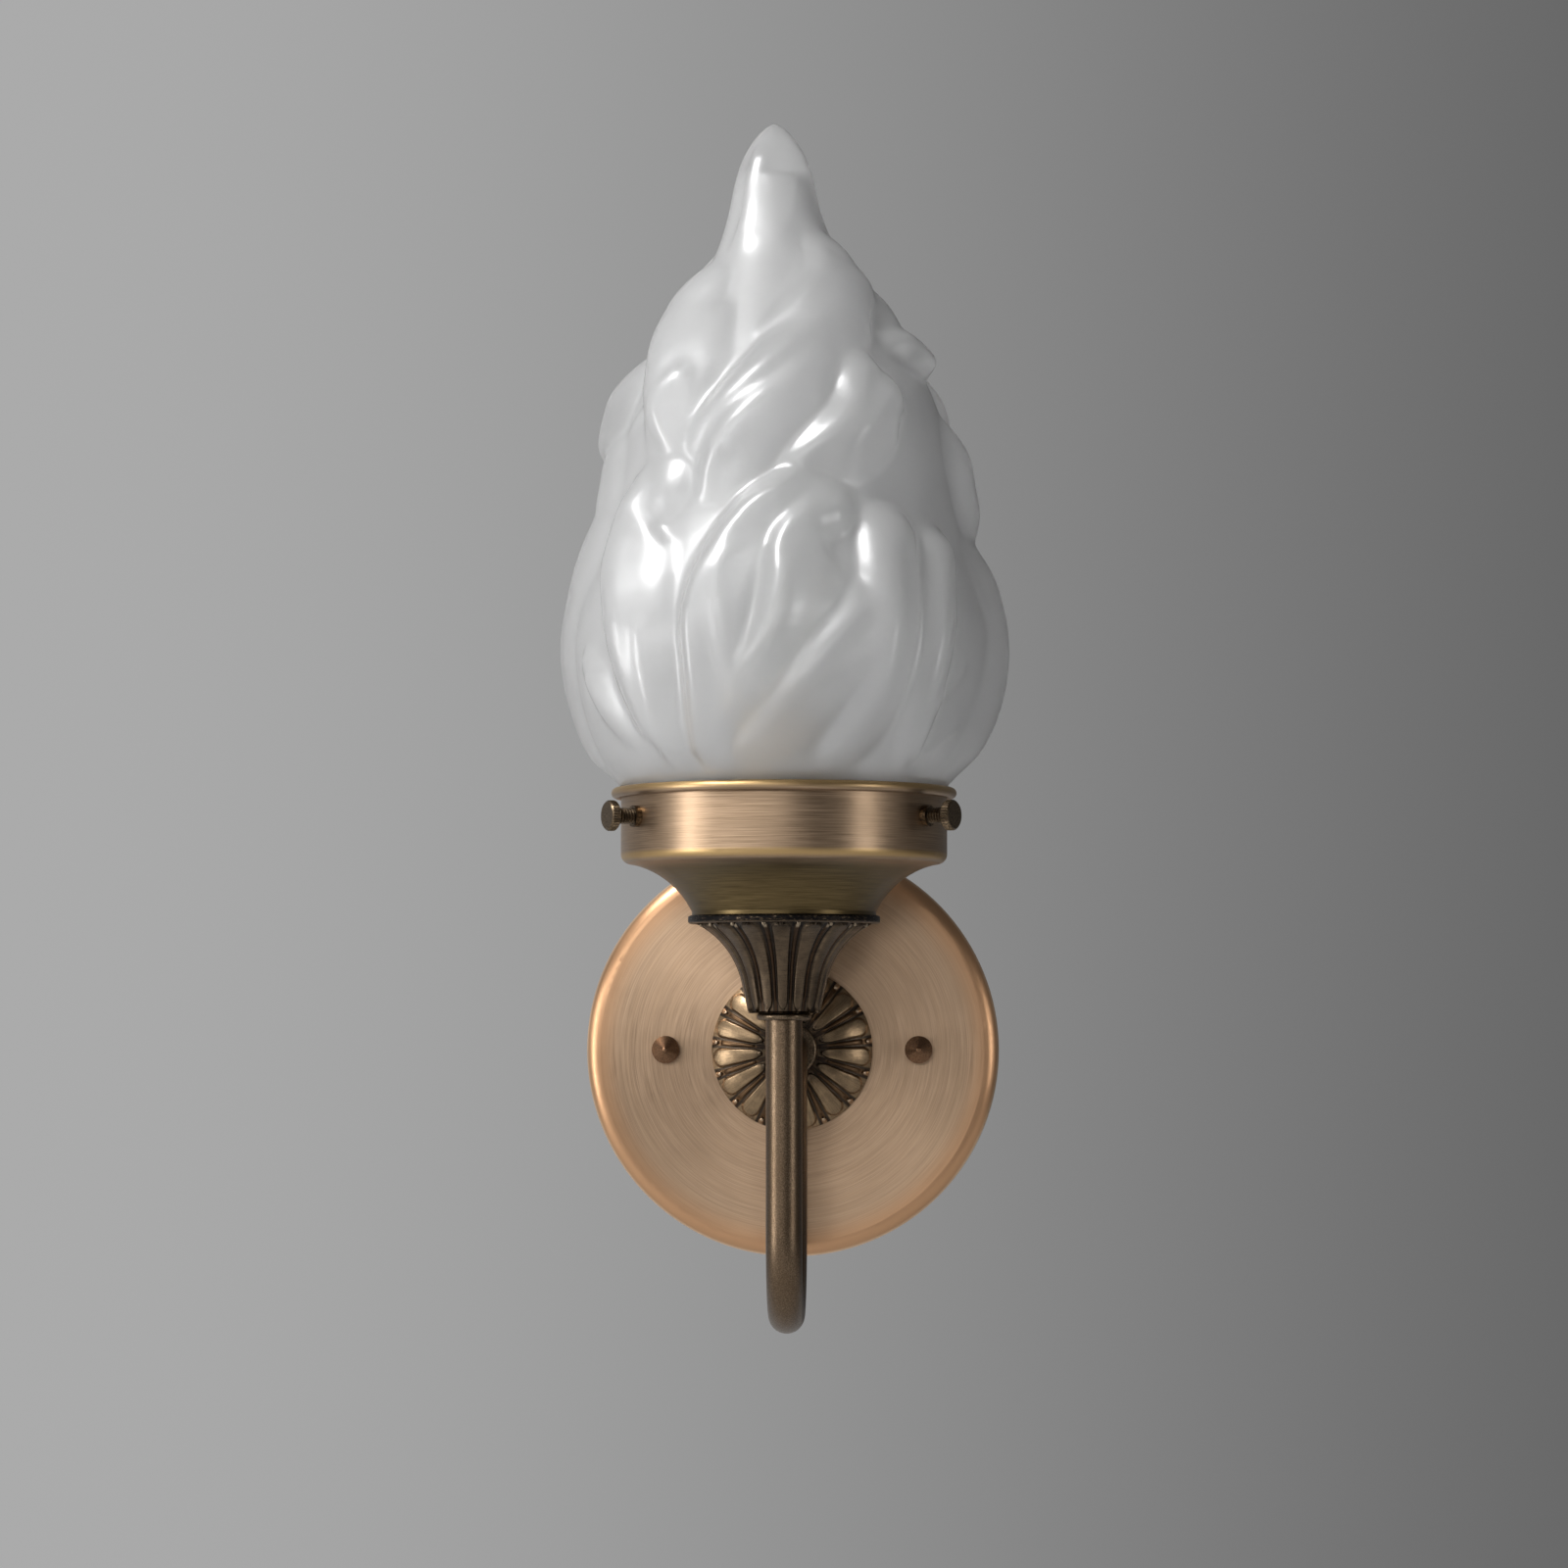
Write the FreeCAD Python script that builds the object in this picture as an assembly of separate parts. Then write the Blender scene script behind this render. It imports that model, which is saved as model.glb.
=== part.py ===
"""Torch sconce: a round wall canopy with a cast rosette, a bent tube arm, a cast
fluted cup, a spun shade holder with three thumb screws, and a glass flame shade.

Millimetres. +Z up, +Y into the wall, +X to the right of someone facing the wall.
The origin is the middle of the canopy on the wall plane, so the light is at -Y.
"""
import FreeCAD
import Part
import math
import os

V = FreeCAD.Vector

# ---- wall plate -------------------------------------------------------------
CANOPY_DIA = 114.3            # 4.5 in
CANOPY_DEPTH = 19.05          # 3/4 in
CANOPY_WALL = 1.2
CANOPY_EDGE_R = 4.0
STUD_SPACING = 69.85          # 2 3/4 in between the cap nuts
STUD_DIA = 4.17               # No. 8 screw
STUD_HOLE_CLEARANCE = 0.3
STUD_NUT_ACROSS = 8.73
STUD_NUT_THICK = 3.2
CROSSBAR_END_LAND = 1.35      # between a box slot and the bar's end
CROSSBAR_WIDTH = 19.05
CROSSBAR_THICK = 1.6
CROSSBAR_END_R = 4.0
CROSSBAR_NIPPLE_DIA = 10.5
BOX_SLOT_WIDTH = 4.6
BOX_SLOT_LENGTH = 10.0
BOX_SLOT_GAP = 2.44           # stud hole to slot, for 3 1/2 in between the box screws
CAP_NUT_DIA = 7.6
CAP_NUT_BODY = 3.4
CAP_NUT_HEIGHT = 6.8
CAP_NUT_TIP_R = 1.0
CAP_NUT_THREAD = 4.1
GROUND_SCREW_X = 17.5
GROUND_SCREW_Z = 2.0
GROUND_SCREW_DIA = 4.83       # No. 10 screw
GROUND_HEAD_ACROSS = 7.94
GROUND_HEAD_THICK = 3.0
GROUND_COLLAR_DIA = 9.6
GROUND_COLLAR_THICK = 0.8

# ---- rosette ----------------------------------------------------------------
ROSETTE_DIA = 44.4
ROSETTE_HEIGHT = 7.6
ROSETTE_RIM = 1.2
ROSETTE_PETALS = 15
ROSETTE_RECESS = 0.9          # petals stand this far above the valleys
ROSETTE_LAND_DIA = 15.2       # flat middle that the ring sits on
ROSETTE_BEAD_R = 0.85

# ---- arm --------------------------------------------------------------------
TUBE_DIA = 9.525              # 3/8 in
TUBE_WALL = 1.2
TUBE_SLIP = 0.1               # gap round the tube where it only passes through
REAR_LEG_DEPTH = 42.0
REACH = 86.0                  # depth of the front leg, the cup and the shade
ELBOW_STRAIGHT = 1.35         # straight tube between the lower ring and the elbow
LEG_DROP = 48.0               # straight legs end this far below the origin
ARM_TAIL_GAP = 12.0           # wall plane to the tube's end inside the canopy
ARM_NUT_ACROSS = 14.29
ARM_NUT_THICK = 4.0
ARM_WASHER_DIA = 19.0
ARM_WASHER_THICK = 0.8
RING_DIA = 14.3
LOWER_RING_THICK = 2.0
UPPER_RING_THICK = 1.8

# ---- cup --------------------------------------------------------------------
CUP_BASE_Z = 10.0
CUP_BASE_DIA = 18.8
CUP_WAIST_Z = 18.5
CUP_WAIST_DIA = 22.6
CUP_THROAT_Z = 26.6
CUP_THROAT_DIA = 30.2
CUP_MOUTH_DIA = 46.2
CUP_FLUTES = 15
CUP_RECESS = 0.8
CUP_WALL = 3.0
CUP_BEAD_R = 0.75
FLANGE_DIA = 50.2
FLANGE_UNDER_Z = 33.3
FLANGE_THICK = 2.1

# ---- shade holder and thumb screws ------------------------------------------
FITTER_DIA = 82.55            # 3 1/4 in glass lip
FITTER_CLEARANCE = 0.375
HOLDER_WALL = 1.0
HOLDER_NECK_DIA = 48.2
HOLDER_BEND_DIA = 58.4        # middle of the flare
HOLDER_BEND_RISE = 7.9
HOLDER_LEDGE_RISE = 13.5      # floor to the underside of the body
HOLDER_CORNER_R = 2.5
HOLDER_BODY_HEIGHT = 17.1     # ledge to the rolled rim
RIM_BEAD_R = 1.35
RIM_TUCK = 0.2                # the rolled bead's overlap with the wall's outside
HOLDER_WASHER_DIA = 22.0
HOLDER_NUT_THICK = 4.0
SCREW_COUNT = 3
SCREW_FIRST_AZIMUTH = 60.0    # from the front, towards +X
SCREW_BELOW_RIM = 6.85        # rim bead centre to the screw axis
SCREW_DIA = 4.17              # No. 8 screw, 32 threads to the inch
SCREW_PITCH = 0.79375
SCREW_THREAD_DEPTH = 0.4
SCREW_SHANK = 6.35
SCREW_HEAD_DIA = 7.9          # 5/16 in
SCREW_HEAD_THICK = 2.5
SCREW_HEAD_BEVEL = 0.5
SCREW_KNURLS = 30
SCREW_KNURL_DEPTH = 0.3
TIP_DIA = 2.4
TIP_PROUD = 1.0
TIP_BURIED = 1.6
BOSS_DIA = 5.5
BOSS_PROUD = 1.5
RUN_CLEARANCE = 0.05          # radial, where a piece turns or slides in a hole
GLASS_CLEARANCE = 0.3         # between the glass and what it could touch

# ---- socket and bulb --------------------------------------------------------
SOCKET_LENGTH = 53.5
SOCKET_DIA = 33.2
SOCKET_SKIN = 0.45
SOCKET_HUB_DIA = 16.0
SOCKET_HUB_HEIGHT = 5.8
SOCKET_CAP_HEIGHT = 14.8
SLEEVE_THICK = 0.6
SOCKET_BODY_HEIGHT = 9.0
SOCKET_BODY_GAP = 0.6         # between the sleeve and what is inside it
SCREW_SHELL_SKIN = 0.5
BULB_BASE_DIA = 26.1
BULB_THREAD_PITCH = 3.63
BULB_THREAD_DEPTH = 0.7
BULB_BASE_SKIN = 0.45
BULB_BASE_HEIGHT = 19.0
BULB_BUTTON_DIA = 9.6
BULB_BUTTON_HEIGHT = 1.6
BULB_CONE_HEIGHT = 4.2
BULB_DIA = 47.6
BULB_LENGTH = 88.0
BULB_GLASS = 0.7
CONTACT_HEIGHT = 4.0
CONTACT_DIA = 7.0
TERMINAL_X = 9.0
TERMINAL_HEAD_DIA = 5.2
TERMINAL_HEAD_THICK = 2.4

# ---- leads ------------------------------------------------------------------
LEAD_DIA = 1.9
LEAD_SPACING = 3.2
LEAD_TURN_R = 3.0
LEAD_FAN_DEG = 35.0           # below the horizontal, inside the canopy
LEAD_TAIL = 6.0
LEAD_EXIT = 0.5               # straight out of the tube before it turns
CONNECTOR_DIA = 9.0
CONNECTOR_TIP_DIA = 6.4
CONNECTOR_LENGTH = 17.0
CONNECTOR_BORE_DEPTH = 9.0
GROUND_LOOP_R = 4.0
GROUND_LOOP_X = 24.5

# ---- glass shade ------------------------------------------------------------
GLASS_WALL = 3.0
LIP_HEIGHT = 4.0
LIP_PROUD = 1.2               # lip beyond the neck, above which the screw tips reach in
LIP_ROUND_R = 1.2
FLAME_HEIGHT = 176.85         # rim to tip
SHADE_LEAN = 2.5              # the top flame leans this far to the left
LEAF_HOLLOW = 0.32            # a leaf is lower than its crest by this share, right of it
LEAVES_FADE = 9.0             # leaves grow to full height over this, above the rim
CAVITY_BELOW_TIP = 14.2       # solid glass at the tip
# The flame's tables are drawn for this rim height, tip height and neck radius, and
# are stretched from these to the real ones.
DRAWN_RIM_Z = 67.35
DRAWN_TIP_Z = 244.2
DRAWN_NECK_R = 40.05
# radius of the valleys between the leaves at heights above the origin
SHADE_VALLEYS = [
    (64.0, 40.05), (67.0, 40.9), (69.0, 42.6), (71.0, 44.2), (76.0, 47.6), (84.0, 51.2),
    (96.0, 54.2), (108.0, 54.8), (120.0, 52.4), (132.0, 48.2), (146.0, 45.0), (160.0, 42.6),
    (172.0, 38.8), (182.0, 33.6), (192.0, 27.4), (202.0, 21.0), (211.0, 15.6), (220.0, 12.3),
    (229.0, 10.3), (235.0, 8.3), (240.0, 5.4), (243.0, 2.6), (244.2, 0.8),
]
# Each leaf of the flame: spine from base to tip as (degrees from the front, height),
# width on its left, width on its right, how far its crest stands above the valleys,
# and the share of that left at its tip.
LOW_LEAVES = [
    ([(-96, 68), (-100, 92), (-97, 118), (-90, 130)], 18.0, 18.0, 5.6, 1.0),
    ([(-40, 82), (-43, 95), (-47, 113), (-53, 128), (-50, 140), (-41, 144)], 7.0, 18.0, 6.4, 0.5),
    ([(-52, 81), (-58, 90), (-63, 99)], 5.0, 9.0, 3.4, 0.6),
    ([(-24, 76), (-22, 94), (-22, 111), (-17, 126), (-7, 138), (3, 142), (10, 141)],
     4.5, 17.0, 6.6, 0.45),
    ([(-12, 91), (-14, 106), (-15, 117), (-13, 125), (-6, 128)], 4.0, 9.0, 6.6, 0.7),
    ([(-12, 90), (-4, 103), (0, 116), (1, 128), (7, 135), (15, 137)], 4.5, 17.0, 7.4, 0.7),
    ([(-8, 76), (7, 88), (20, 96), (27, 103)], 11.0, 11.0, 5.6, 1.0),
    ([(-3, 81), (7, 94), (18, 106), (25, 112)], 6.0, 14.0, 5.2, 0.8),
    ([(18, 74), (26, 88), (30, 107), (32, 124), (34, 130)], 9.0, 10.5, 7.0, 1.0),
    ([(42, 76), (43, 93), (47, 113), (52, 128)], 7.0, 8.0, 6.0, 1.0),
    ([(74, 68), (84, 84), (90, 106), (88, 122)], 14.0, 16.0, 4.4, 1.0),
    ([(118, 68), (112, 90), (114, 112), (110, 126)], 13.0, 15.0, 5.2, 1.0),
    ([(138, 70), (134, 92), (138, 114), (132, 134)], 10.0, 15.0, 5.6, 1.0),
    ([(160, 72), (156, 94), (162, 116), (170, 132)], 8.0, 16.0, 5.4, 1.0),
    ([(182, 70), (178, 92), (184, 112), (194, 128)], 8.0, 16.0, 5.2, 1.0),
    ([(205, 70), (206, 92), (212, 114), (220, 136)], 9.0, 15.0, 5.6, 1.0),
    ([(232, 68), (238, 90), (236, 112), (232, 128)], 12.0, 15.0, 5.2, 1.0),
]
HIGH_LEAVES = [
    ([(-98, 150), (-96, 160), (-90, 171)], 14.0, 14.0, 7.8, 1.0),
    ([(-80, 134), (-82, 152)], 11.0, 11.0, 4.2, 1.0),
    ([(-43, 150), (-44, 163), (-49, 177), (-58, 187), (-62, 195)], 10.0, 17.0, 7.6, 0.9),
    ([(-35, 148), (-42, 158), (-45, 166), (-39, 173), (-30, 177)], 5.0, 12.0, 6.2, 0.3),
    ([(-33, 150), (-24, 160), (-11, 170), (5, 181), (28, 193), (50, 200)], 6.0, 16.0, 7.6, 0.9),
    ([(-10, 182), (8, 190), (26, 197), (51, 207)], 6.0, 12.0, 7.0, 0.8),
    ([(-23, 138), (-22, 147), (-16, 157), (-6, 165), (5, 171), (13, 177)], 5.5, 15.0, 7.4, 0.9),
    ([(0, 146), (14, 154), (25, 163), (31, 173)], 7.0, 9.0, 7.6, 0.9),
    ([(11, 146), (25, 157), (38, 167)], 7.0, 12.0, 8.0, 0.9),
    ([(92, 130), (92, 153)], 13.0, 15.0, 6.2, 1.0),
    ([(48, 184), (64, 184), (76, 181)], 6.0, 7.0, 7.4, 1.0),
    ([(66, 184), (74, 194)], 9.0, 10.0, 3.6, 1.0),
    ([(112, 126), (118, 148), (112, 170)], 12.0, 14.0, 5.8, 1.0),
    ([(138, 132), (146, 152), (158, 172), (168, 182)], 8.0, 16.0, 6.4, 1.0),
    ([(172, 130), (182, 150), (196, 168), (204, 178)], 8.0, 16.0, 6.4, 1.0),
    ([(208, 128), (220, 148), (232, 164), (236, 176)], 9.0, 15.0, 6.0, 1.0),
    ([(130, 164), (146, 182), (166, 196), (186, 206)], 8.0, 15.0, 6.6, 1.0),
    ([(196, 172), (216, 188), (240, 202)], 9.0, 14.0, 6.4, 1.0),
]
# Each fine ridge: spine, width on its left, width on its right, height.
RIDGES = [
    ([(19, 132), (20, 126), (18, 118), (12, 110)], 1.2, 1.2, 1.0),
    ([(-6, 94), (2, 108), (4, 122), (10, 132)], 1.5, 2.5, 1.0),
    ([(-36, 79), (-36, 92), (-37, 109)], 1.6, 2.2, 1.3),
    ([(-44, 208), (-33, 218), (-32, 227), (-28, 238)], 1.8, 6.0, 1.5),
    ([(-2, 210), (19, 218), (31, 228)], 6.0, 1.8, 0.8),
    ([(-4, 192), (9, 199), (25, 208)], 1.2, 1.6, 1.0),
    ([(5, 192), (22, 200), (40, 209)], 1.2, 1.6, 1.0),
    ([(42, 83), (53, 92), (60, 99)], 1.3, 1.3, 1.0),
    ([(41, 72), (52, 77), (63, 84)], 1.3, 1.3, 1.0),
    ([(-69, 160), (-59, 166), (-56, 172)], 1.0, 1.0, 0.8),
    ([(150, 84), (146, 106), (156, 128), (168, 140)], 1.6, 4.0, 2.0),
    ([(174, 80), (170, 104), (180, 126), (192, 136)], 1.6, 4.0, 2.0),
    ([(134, 140), (142, 160), (158, 178), (170, 188)], 1.6, 4.0, 2.0),
    ([(170, 140), (180, 158), (196, 174), (208, 184)], 1.6, 4.0, 2.0),
    ([(130, 170), (144, 186), (166, 200), (190, 210)], 1.6, 4.0, 1.8),
    ([(198, 180), (216, 194), (240, 208)], 1.6, 4.0, 1.6),
]
SKIN_COLUMN_COUNT = 96        # control points round the skin
SKIN_ROW_COUNT = 84           # control points up the skin

# ---- worked out from the above ----------------------------------------------
TUBE_R = TUBE_DIA / 2
PASS_R = TUBE_R + TUBE_SLIP
STUD_R = STUD_DIA / 2
U_BEND_R = (REACH - REAR_LEG_DEPTH) / 2
FLANGE_TOP_Z = FLANGE_UNDER_Z + FLANGE_THICK
HOLDER_FLOOR_Z = FLANGE_TOP_Z + HOLDER_WALL
LEDGE_Z = FLANGE_TOP_Z + HOLDER_LEDGE_RISE
RIM_Z = LEDGE_Z + HOLDER_BODY_HEIGHT + RIM_BEAD_R
HOLDER_INNER_R = FITTER_DIA / 2 + FITTER_CLEARANCE
HOLDER_OUTER_R = HOLDER_INNER_R + HOLDER_WALL
SCREW_Z = RIM_Z - SCREW_BELOW_RIM
HOLDER_NUT_Z = HOLDER_FLOOR_Z + ARM_WASHER_THICK
SOCKET_Z = HOLDER_NUT_Z + HOLDER_NUT_THICK
ARM_TOP_Z = SOCKET_Z + SOCKET_HUB_HEIGHT - 1.0
SOCKET_TOP_Z = SOCKET_Z + SOCKET_LENGTH
SOCKET_BODY_Z = SOCKET_Z + SOCKET_CAP_HEIGHT + 1.0
SOCKET_BODY_TOP_Z = SOCKET_BODY_Z + SOCKET_BODY_HEIGHT
CONTACT_TOP_Z = SOCKET_BODY_TOP_Z + CONTACT_HEIGHT
BULB_Z = CONTACT_TOP_Z + GLASS_CLEARANCE
SLEEVE_R = SOCKET_DIA / 2 - SOCKET_SKIN
BORE_R = SLEEVE_R - SLEEVE_THICK - SOCKET_BODY_GAP
TIP_FACE_R = FITTER_DIA / 2 + GLASS_CLEARANCE
NECK_R = FITTER_DIA / 2 - LIP_PROUD
LIP_Z = LEDGE_Z + HOLDER_WALL + GLASS_CLEARANCE
SHADE_TOP_Z = RIM_Z + FLAME_HEIGHT
ROSETTE_DEPTH = CANOPY_DEPTH + ROSETTE_HEIGHT
ELBOW_R = REAR_LEG_DEPTH - ROSETTE_DEPTH - LOWER_RING_THICK - ELBOW_STRAIGHT
BOX_SLOT_X = (STUD_SPACING + STUD_DIA + BOX_SLOT_LENGTH) / 2 + BOX_SLOT_GAP
CROSSBAR_LENGTH = 2 * BOX_SLOT_X + BOX_SLOT_LENGTH + 2 * CROSSBAR_END_LAND
CANOPY_INSIDE = CANOPY_DEPTH - CANOPY_WALL
ARM_NUT_DEPTH = CANOPY_INSIDE - ARM_WASHER_THICK - ARM_NUT_THICK

FROM_WALL = FreeCAD.Rotation(V(0, 0, 1), V(0, -1, 0))
CUP_AXIS = V(0, -REACH, 0)


# ---- making solids ----------------------------------------------------------
def edges_through(outline):
    """Edges of a closed outline in the XZ plane. An item of two numbers is a
    point reached by a straight line, one of four numbers an arc's middle and end."""
    edges = []
    here = None
    for item in outline + [outline[0][-2:]]:
        end = V(item[-2], 0, item[-1])
        if here is not None and here.distanceToPoint(end) > 1e-6:
            if len(item) == 4:
                edges.append(Part.Arc(here, V(item[0], 0, item[1]), end).toShape())
            else:
                edges.append(Part.LineSegment(here, end).toShape())
        here = end
    return edges


def turned(outline):
    """Solid turned about Z from an outline of (radius, height) items."""
    return Part.Face(Part.Wire(edges_through(outline))).revolve(V(), V(0, 0, 1), 360)


def placed(shape, at=V(), turn=FreeCAD.Rotation()):
    copy = shape.copy()
    copy.Placement = FreeCAD.Placement(at, turn).multiply(copy.Placement)
    return copy


def bush(outer_r, inner_r, start, length):
    return turned([(inner_r, start), (outer_r, start),
                   (outer_r, start + length), (inner_r, start + length)])


def rod(radius, start, length):
    return Part.makeCylinder(radius, length, V(0, 0, start))


def hexagon(across, start, length):
    corner = across / math.sqrt(3)
    points = [V(corner * math.cos(math.radians(30 + 60 * k)),
                corner * math.sin(math.radians(30 + 60 * k)), start) for k in range(7)]
    return Part.Face(Part.makePolygon(points)).extrude(V(0, 0, length))


def hex_nut(across, bore_r, start, length):
    """Hexagon with chamfered corners and a bore."""
    corner = across / math.sqrt(3)
    chamfer = corner - across / 2
    limits = turned([(0, start), (across / 2, start), (corner, start + chamfer),
                     (corner, start + length - chamfer), (across / 2, start + length),
                     (0, start + length)])
    return hexagon(across, start, length).common(limits).cut(rod(bore_r, start, length))


def along_path(edges, radius):
    """Round bar along tangent lines and arcs."""
    path = Part.Wire(edges)
    first = path.Edges[0]
    heading = first.tangentAt(first.FirstParameter)
    circle = Part.Wire(Part.makeCircle(radius, first.valueAt(first.FirstParameter), heading))
    return path.makePipeShell([circle], True, False)


def quarter_arc(start, towards, then, radius):
    """Quarter turn that leaves start along one direction and ends along another."""
    centre = start + then * radius
    diagonal = (towards - then) * (radius * math.sqrt(0.5))
    end = centre + towards * radius
    return Part.Arc(start, centre + diagonal, end), end


def smooth(table, x):
    """Cubic curve through a table of (x, y), held at both ends."""
    if x <= table[0][0]:
        return table[0][1]
    if x >= table[-1][0]:
        return table[-1][1]
    i = next(k for k in range(1, len(table)) if x <= table[k][0])
    (x0, y0), (x1, y1) = table[i - 1], table[i]
    before = table[max(i - 2, 0)]
    after = table[min(i + 1, len(table) - 1)]
    span = x1 - x0
    slope0 = (y1 - before[1]) / (x1 - before[0])
    slope1 = (after[1] - y0) / (after[0] - x0)
    t = (x - x0) / span
    return ((2 * t ** 3 - 3 * t ** 2 + 1) * y0 + (t ** 3 - 2 * t ** 2 + t) * span * slope0
            + (3 * t ** 2 - 2 * t ** 3) * y1 + (t ** 3 - t ** 2) * span * slope1)


def grooved(outer_r, depth, pitch, start, length):
    """Outline points of a ring-grooved length, from start to start + length."""
    turns = int(length / pitch)
    margin = (length - turns * pitch) / 2
    points = [(outer_r - depth, start)]
    for k in range(turns):
        crest = start + margin + (k + 0.5) * pitch
        points += [(outer_r - depth, crest - 0.45 * pitch), (outer_r, crest - 0.1 * pitch),
                   (outer_r, crest + 0.1 * pitch), (outer_r - depth, crest + 0.45 * pitch)]
    points.append((outer_r - depth, start + length))
    return points


# ---- wall side --------------------------------------------------------------
def crossbar():
    half_l, half_w = CROSSBAR_LENGTH / 2, CROSSBAR_WIDTH / 2
    bar = Part.makeBox(CROSSBAR_LENGTH, CROSSBAR_WIDTH, CROSSBAR_THICK, V(-half_l, -half_w, 0))
    upright = [e for e in bar.Edges if abs(e.tangentAt(e.FirstParameter).z) > 0.99]
    bar = bar.makeFillet(CROSSBAR_END_R, upright)
    bar = bar.cut(rod(CROSSBAR_NIPPLE_DIA / 2, 0, CROSSBAR_THICK))
    for side in (-1, 1):
        bar = bar.cut(placed(rod(STUD_R, 0, CROSSBAR_THICK), V(side * STUD_SPACING / 2, 0, 0)))
        bar = bar.cut(placed(slot(), V(side * BOX_SLOT_X, 0, 0)))
    ground = placed(rod(GROUND_SCREW_DIA / 2, 0, CROSSBAR_THICK), V(GROUND_SCREW_X, GROUND_SCREW_Z, 0))
    return placed(bar.cut(ground), turn=FROM_WALL)


def slot():
    """Slot along X with round ends."""
    half = (BOX_SLOT_LENGTH - BOX_SLOT_WIDTH) / 2
    body = Part.makeBox(2 * half, BOX_SLOT_WIDTH, CROSSBAR_THICK, V(-half, -BOX_SLOT_WIDTH / 2, 0))
    for end in (-half, half):
        body = body.fuse(placed(rod(BOX_SLOT_WIDTH / 2, 0, CROSSBAR_THICK), V(end, 0, 0)))
    return body.removeSplitter()


def canopy():
    outer = CANOPY_DIA / 2
    inner = outer - CANOPY_WALL
    front = CANOPY_DEPTH
    inside_r = CANOPY_EDGE_R - CANOPY_WALL
    bend = math.sqrt(0.5)
    flat = outer - CANOPY_EDGE_R
    shoulder = front - CANOPY_EDGE_R
    shell = turned([
        (outer, 0), (outer, shoulder),
        (flat + bend * CANOPY_EDGE_R, shoulder + bend * CANOPY_EDGE_R, flat, front),
        (PASS_R, front), (PASS_R, CANOPY_INSIDE), (flat, CANOPY_INSIDE),
        (flat + bend * inside_r, shoulder + bend * inside_r, inner, shoulder), (inner, 0)])
    for side in (-1, 1):
        hole = rod(STUD_R + STUD_HOLE_CLEARANCE, CANOPY_INSIDE, CANOPY_WALL)
        shell = shell.cut(placed(hole, V(side * STUD_SPACING / 2, 0, 0)))
    return placed(shell, turn=FROM_WALL)


def cap_nut():
    """Round nut with a conical top that ends in a small round tip."""
    radius = CAP_NUT_DIA / 2
    bevel = 0.4
    cone_top = CAP_NUT_HEIGHT - CAP_NUT_TIP_R
    lean = math.sqrt(0.5) * CAP_NUT_TIP_R
    return turned([
        (STUD_R, 0), (radius, 0), (radius, CAP_NUT_BODY - bevel), (radius - bevel, CAP_NUT_BODY),
        (CAP_NUT_TIP_R, cone_top), (lean, cone_top + lean, 0, CAP_NUT_HEIGHT),
        (0, CAP_NUT_THREAD), (STUD_R, CAP_NUT_THREAD)])


def ground_screw():
    collar = rod(GROUND_COLLAR_DIA / 2, CROSSBAR_THICK, GROUND_COLLAR_THICK)
    head = hexagon(GROUND_HEAD_ACROSS, CROSSBAR_THICK + GROUND_COLLAR_THICK, GROUND_HEAD_THICK)
    shank = rod(GROUND_SCREW_DIA / 2, 0, CROSSBAR_THICK)
    screw = shank.fuse([collar, head]).removeSplitter()
    return placed(screw, V(GROUND_SCREW_X, 0, GROUND_SCREW_Z), FROM_WALL)


def finger(stations):
    """Raised flute: a smooth loft of ellipses. Each station is (radius from the
    axis, height, slope of the outward normal in degrees, half width, rise)."""
    sections = []
    for radius, height, normal_deg, half_width, rise in stations:
        normal = V(math.cos(math.radians(normal_deg)), 0, math.sin(math.radians(normal_deg)))
        ellipse = Part.Ellipse(V(), max(half_width, rise), min(half_width, rise)).toShape()
        across = V(0, 1, 0) if half_width >= rise else normal
        out = normal if half_width >= rise else V(0, 1, 0)
        turn = FreeCAD.Rotation(across, out, across.cross(out), "XYZ")
        sections.append(placed(Part.Wire(ellipse), V(radius, 0, height), turn))
    return Part.makeLoft(sections, True, False)


def ring_of(shape, count, first_deg=0.0):
    turns = [FreeCAD.Rotation(V(0, 0, 1), first_deg + 360.0 * k / count) for k in range(count)]
    return [placed(shape, turn=turn) for turn in turns]


def ball(radius, at):
    return Part.makeSphere(radius, at)


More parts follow.
